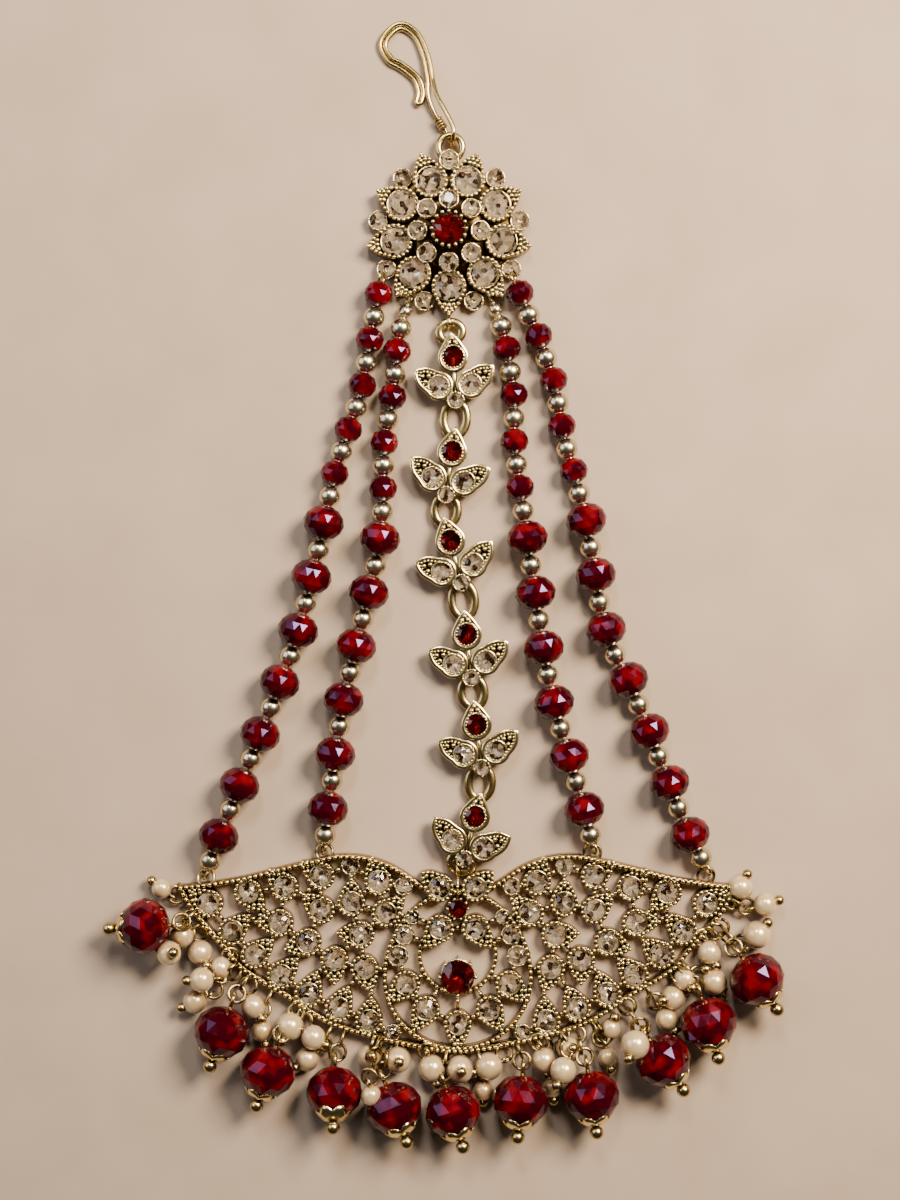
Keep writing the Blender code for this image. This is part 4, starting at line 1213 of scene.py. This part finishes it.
def build_plate():
    heap = Heap()
    seats = []
    for across, up, degrees in [*mirrored(WING_PEARS + MEDALLION_PEARS), MIDDLE_PEAR]:
        place = at(plate_point(across, up), math.radians(degrees))
        add_pear(heap, place, **PLATE_PEAR)
        seats.append((plate_point(across, up), PLATE_PEAR["radius"]))
        if across:  # the middle pear's point meets the rim without a tie
            seats.append((place @ Vector((PLATE_PEAR["tip"] - PEAR_POINT, 0, 0)), PEAR_POINT))
    for across, up, degrees in mirrored(FLOWER_PETALS):
        place = at(plate_point(across, up, FLOWER_LIFT), math.radians(degrees))
        add_pear(heap, place, **FLOWER_PETAL)
        seats.append((plate_point(across, up), FLOWER_PETAL["radius"]))
    for across, up, radius in HALF_ROUNDS:
        for side in (across, -across):
            add_round(heap, at(plate_point(side, up)), radius, PLATE_PEAR["wall"], beads=6)
            seats.append((plate_point(side, up), radius))
    outline = rim_outline()
    egg = egg_outline()
    inner = [plate_point(0, INNER_RING_UP) + spot for spot in circle(INNER_RING_RADIUS, 48)]
    add_beaded_band(heap, outline, RIM_HEIGHT, RIM_HALF_WIDTH)
    add_beaded_band(heap, egg, EGG_BAND_HEIGHT, EGG_BAND_HALF_WIDTH)
    add_beaded_band(heap, inner, INNER_RING_HEIGHT, INNER_RING_HALF_WIDTH)
    add_ties(heap, seats, (outline, egg, inner))
    ruby = plate_point(0, PLATE_RUBY_UP)
    add_claws(heap, ruby, PLATE_RUBY_RADIUS, **PLATE_CLAWS)
    heap.add(turned_shape(PLATE_RUBY_CUP), Matrix.Translation(ruby), "gilt")
    flower = plate_point(0, FLOWER_RUBY_UP)
    add_claws(heap, flower, FLOWER_RUBY_RADIUS, **FLOWER_CLAWS)
    heap.add(turned_shape(FLOWER_RUBY_CUP), Matrix.Translation(flower), "gilt")
    add_tie(heap, ruby - Vector((0, 2.2, 0)), plate_point(*MIDDLE_PEAR[:2]) + Vector((0, 1.9, 0)))
    eye = plate_point(0, 0, EYE_HEIGHT) + Vector((0, PLATE_EYE_UP, 0))
    heap.ring(eye, (1, 0, 0), EYE_RADIUS, EYE_WIRE_RADIUS, "gilt")
    add_tie(heap, flower, eye - Vector((0, EYE_RADIUS, 0)))
    make_piece("pierced_crescent", heap, ["crescent_plate"])


# Drops, pearls and their rings


def scalloped_cap():
    """A thin flower-edged cup that opens towards +Z, where the bead sits in it."""
    rows = []
    for radius, height, wave in CAP_PROFILE:
        row = []
        for spot in circle(1.0, 48):
            lobe = abs(math.cos(CAP_SCALLOPS / 2 * math.atan2(spot.y, spot.x)))
            reach = radius * (1 - wave * (1 - lobe))
            row.append(Vector((spot.x * reach, spot.y * reach, height - CAP_DROOP * wave * (1 - lobe))))
        rows.append(row)
    return stacked(rows)


SCALLOPED_CAP = scalloped_cap()


def drop_place(number):
    across, up, degrees, tilt = DROPS[number]
    ball_way = Vector((
        math.cos(math.radians(degrees)) * math.cos(math.radians(tilt)),
        math.sin(math.radians(degrees)) * math.cos(math.radians(tilt)),
        math.sin(math.radians(tilt)),
    ))
    turn = ball_way.to_track_quat("-Z", "Y").to_matrix().to_4x4()
    return Matrix.Translation(plate_point(across, up, DROP_DIAMETER / 2)) @ turn


def hang(heap, start, rim):
    """Jump rings, every other one on edge, from a loop to the nearest spot of the rim."""
    end = nearest_on(rim, Vector((start.x, start.y, 0)))
    end.z = RIM_HOLD_HEIGHT
    way = end - start
    count = max(1, round(way.length / (JUMP_RING_RADIUS * JUMP_RING_STEP)))
    for step in range(count):
        spot = start + way * (step + 0.5) / count
        tip = [chance.uniform(-JUMP_RING_LEAN, JUMP_RING_LEAN) for _ in range(2)]
        lean = Vector((*tip, 0))
        if step % 2:
            lean = Vector((-way.y, way.x, 0)).normalized() + lean * 0.6
            spot.z = max(spot.z, JUMP_RING_RADIUS + JUMP_WIRE_RADIUS)
        else:
            lean = Vector((0, 0, 1)) + lean
            spot.z = max(spot.z, JUMP_RING_LOW)
        heap.ring(spot, lean, JUMP_RING_RADIUS, JUMP_WIRE_RADIUS, "tarnished", around=18, section=6)


def build_drop(number, rim):
    heap = Heap()
    place = drop_place(number)
    size = Matrix.Diagonal((DROP_DIAMETER / 2, DROP_DIAMETER / 2, DROP_LENGTH / 2, 1))
    heap.add(LARGE_RED, place @ Matrix.Rotation(chance.uniform(0, 1), 4, "Z") @ size, "red_glass", False)
    heap.add(SCALLOPED_CAP, place @ Matrix.Translation((0, 0, -DROP_LENGTH / 2 - CAP_BEHIND)), "gilt")
    pin = [(DROP_PIN_RADIUS, height) for height in (-CAP_BALL_DOWN, DROP_LOOP_UP - DROP_LOOP_RADIUS)]
    heap.add(turned_shape(pin, 10), place, "wire")
    heap.ball(place @ Vector((0, 0, -CAP_BALL_DOWN)), CAP_BALL_RADIUS, "wire", BALL)
    loop = place @ Vector((0, 0, DROP_LOOP_UP))
    heap.ring(loop, place.to_3x3() @ Vector((1, 0, 0)), DROP_LOOP_RADIUS, DROP_LOOP_WIRE, "wire")
    hang(heap, loop, rim)
    make_piece(f"red_drop_{number + 1}", heap, [f"drop_{number + 1}"])


def add_pearl(heap, middle, radius, way, rim):
    """A pearl on a ball-ended pin, whose other end is a loop that a jump ring holds."""
    way = Vector(way).normalized()
    heap.ball(middle, radius, "pearl", PEARL)
    heap.ball(middle + way * (radius + PEARL_BALL_OFF), PEARL_BALL_RADIUS, "wire", BALL)
    collar = Matrix.Translation(middle) @ facing(way) @ Matrix.Translation((0, 0, radius - 0.05))
    heap.add(ring_shape(PEARL_COLLAR_RADIUS, PEARL_COLLAR_WIRE, section=6), collar, "tarnished")
    loop = middle - way * (radius + PEARL_LOOP_OFF)
    loop.z = max(loop.z, PEARL_LOOP_LOW)
    aside = way.cross(Vector((0.3, 0.2, 1)))
    heap.ring(loop, aside, PEARL_LOOP_RADIUS, PIN_WIRE_RADIUS, "wire", around=16, section=6)
    hang(heap, loop, rim)


def resting_height(spot, radius, others):
    """The lowest height at which a pearl lies on the table or on what is already there."""
    height = radius
    for other, other_radius in others:
        reach = (radius + other_radius) ** 2 - (spot.x - other.x) ** 2 - (spot.y - other.y) ** 2
        if reach > 0:
            height = max(height, other.z + math.sqrt(reach))
    return height


def build_pearls(rim):
    placed = [(drop_place(number).translation, DROP_LENGTH / 2) for number in range(len(DROPS))]
    for number, row in enumerate(PEARL_CLUSTERS):
        heap = Heap()
        for across, up, height, radius, way in row:
            middle = plate_point(across, up, height)
            placed.append((middle, radius))
            add_pearl(heap, middle, radius, way, rim)
        name = f"pearl_cluster_{number + 1}"
        make_piece("pinned_" + name, heap, [name])
    heap = Heap()
    for x, y, radius, way in LOOSE_PEARLS:
        middle = Vector((x, y, 0))
        middle.z = min(resting_height(middle, radius, placed), PEARL_PILE_TOP)
        placed.append((middle, radius))
        add_pearl(heap, middle, radius, way, rim)
    make_piece("single_pearls", heap, [])


# Table, light and camera


def build_table():
    half = TABLE_MM * MM / 2
    mesh = bpy.data.meshes.new("table_top")
    corners = [(-half, -half, 0), (half, -half, 0), (half, half, 0), (-half, half, 0)]
    mesh.from_pydata([(x, y + CAMERA.y * MM, z) for x, y, z in corners], [], [(0, 1, 2, 3)])
    mesh.materials.append(table_paint())
    table = bpy.data.objects.new("table_top", mesh)
    bpy.context.scene.collection.objects.link(table)


def add_softbox(name, spot, width, watts, colour):
    """A square lamp aimed at the middle of the ornament."""
    lamp = bpy.data.lights.new(name, "AREA")
    lamp.size = width * MM
    lamp.energy = watts
    lamp.color = linear(colour)[:3]
    made = bpy.data.objects.new(name, lamp)
    made.location = Vector(spot) * MM
    target = Vector((CAMERA.x, CAMERA.y, 0))
    made.rotation_euler = (target - Vector(spot)).to_track_quat("-Z", "Y").to_euler()
    bpy.context.scene.collection.objects.link(made)


def add_room_light():
    world = bpy.data.worlds.new("room")
    bpy.context.scene.world = world
    world.use_nodes = True
    background = world.node_tree.nodes["Background"]
    background.inputs["Color"].default_value = linear(ROOM_COLOUR)
    background.inputs["Strength"].default_value = ROOM_GLOW


def add_camera():
    camera = bpy.data.cameras.new("camera")
    camera.sensor_fit = "VERTICAL"
    camera.sensor_height = SENSOR_MM
    camera.lens = LENS_MM
    made = bpy.data.objects.new("camera", camera)
    made.location = CAMERA * MM
    bpy.context.scene.collection.objects.link(made)
    bpy.context.scene.camera = made


build_hook()
build_rosette()
build_ruby("rosette", Vector((0, 0, 0)), ROSETTE_RUBY_RADIUS, ROSETTE_RUBY_LOW)
build_ruby("medallion", plate_point(0, PLATE_RUBY_UP), PLATE_RUBY_RADIUS, PLATE_RUBY_LOW)
build_ruby("flower", plate_point(0, FLOWER_RUBY_UP), FLOWER_RUBY_RADIUS, PLATE_RUBY_LOW)
rim = rim_outline()
for string in STRING_ROUTES:
    build_string(string, rim)
for link in range(LINK_COUNT):
    build_link(link)
for ring in range(LINK_COUNT + 1):
    build_connector(ring)
build_plate()
for drop in range(len(DROPS)):
    build_drop(drop, rim)
build_pearls(rim)
build_table()
for name, values in SOFTBOXES.items():
    add_softbox(name, *values)
add_room_light()
add_camera()
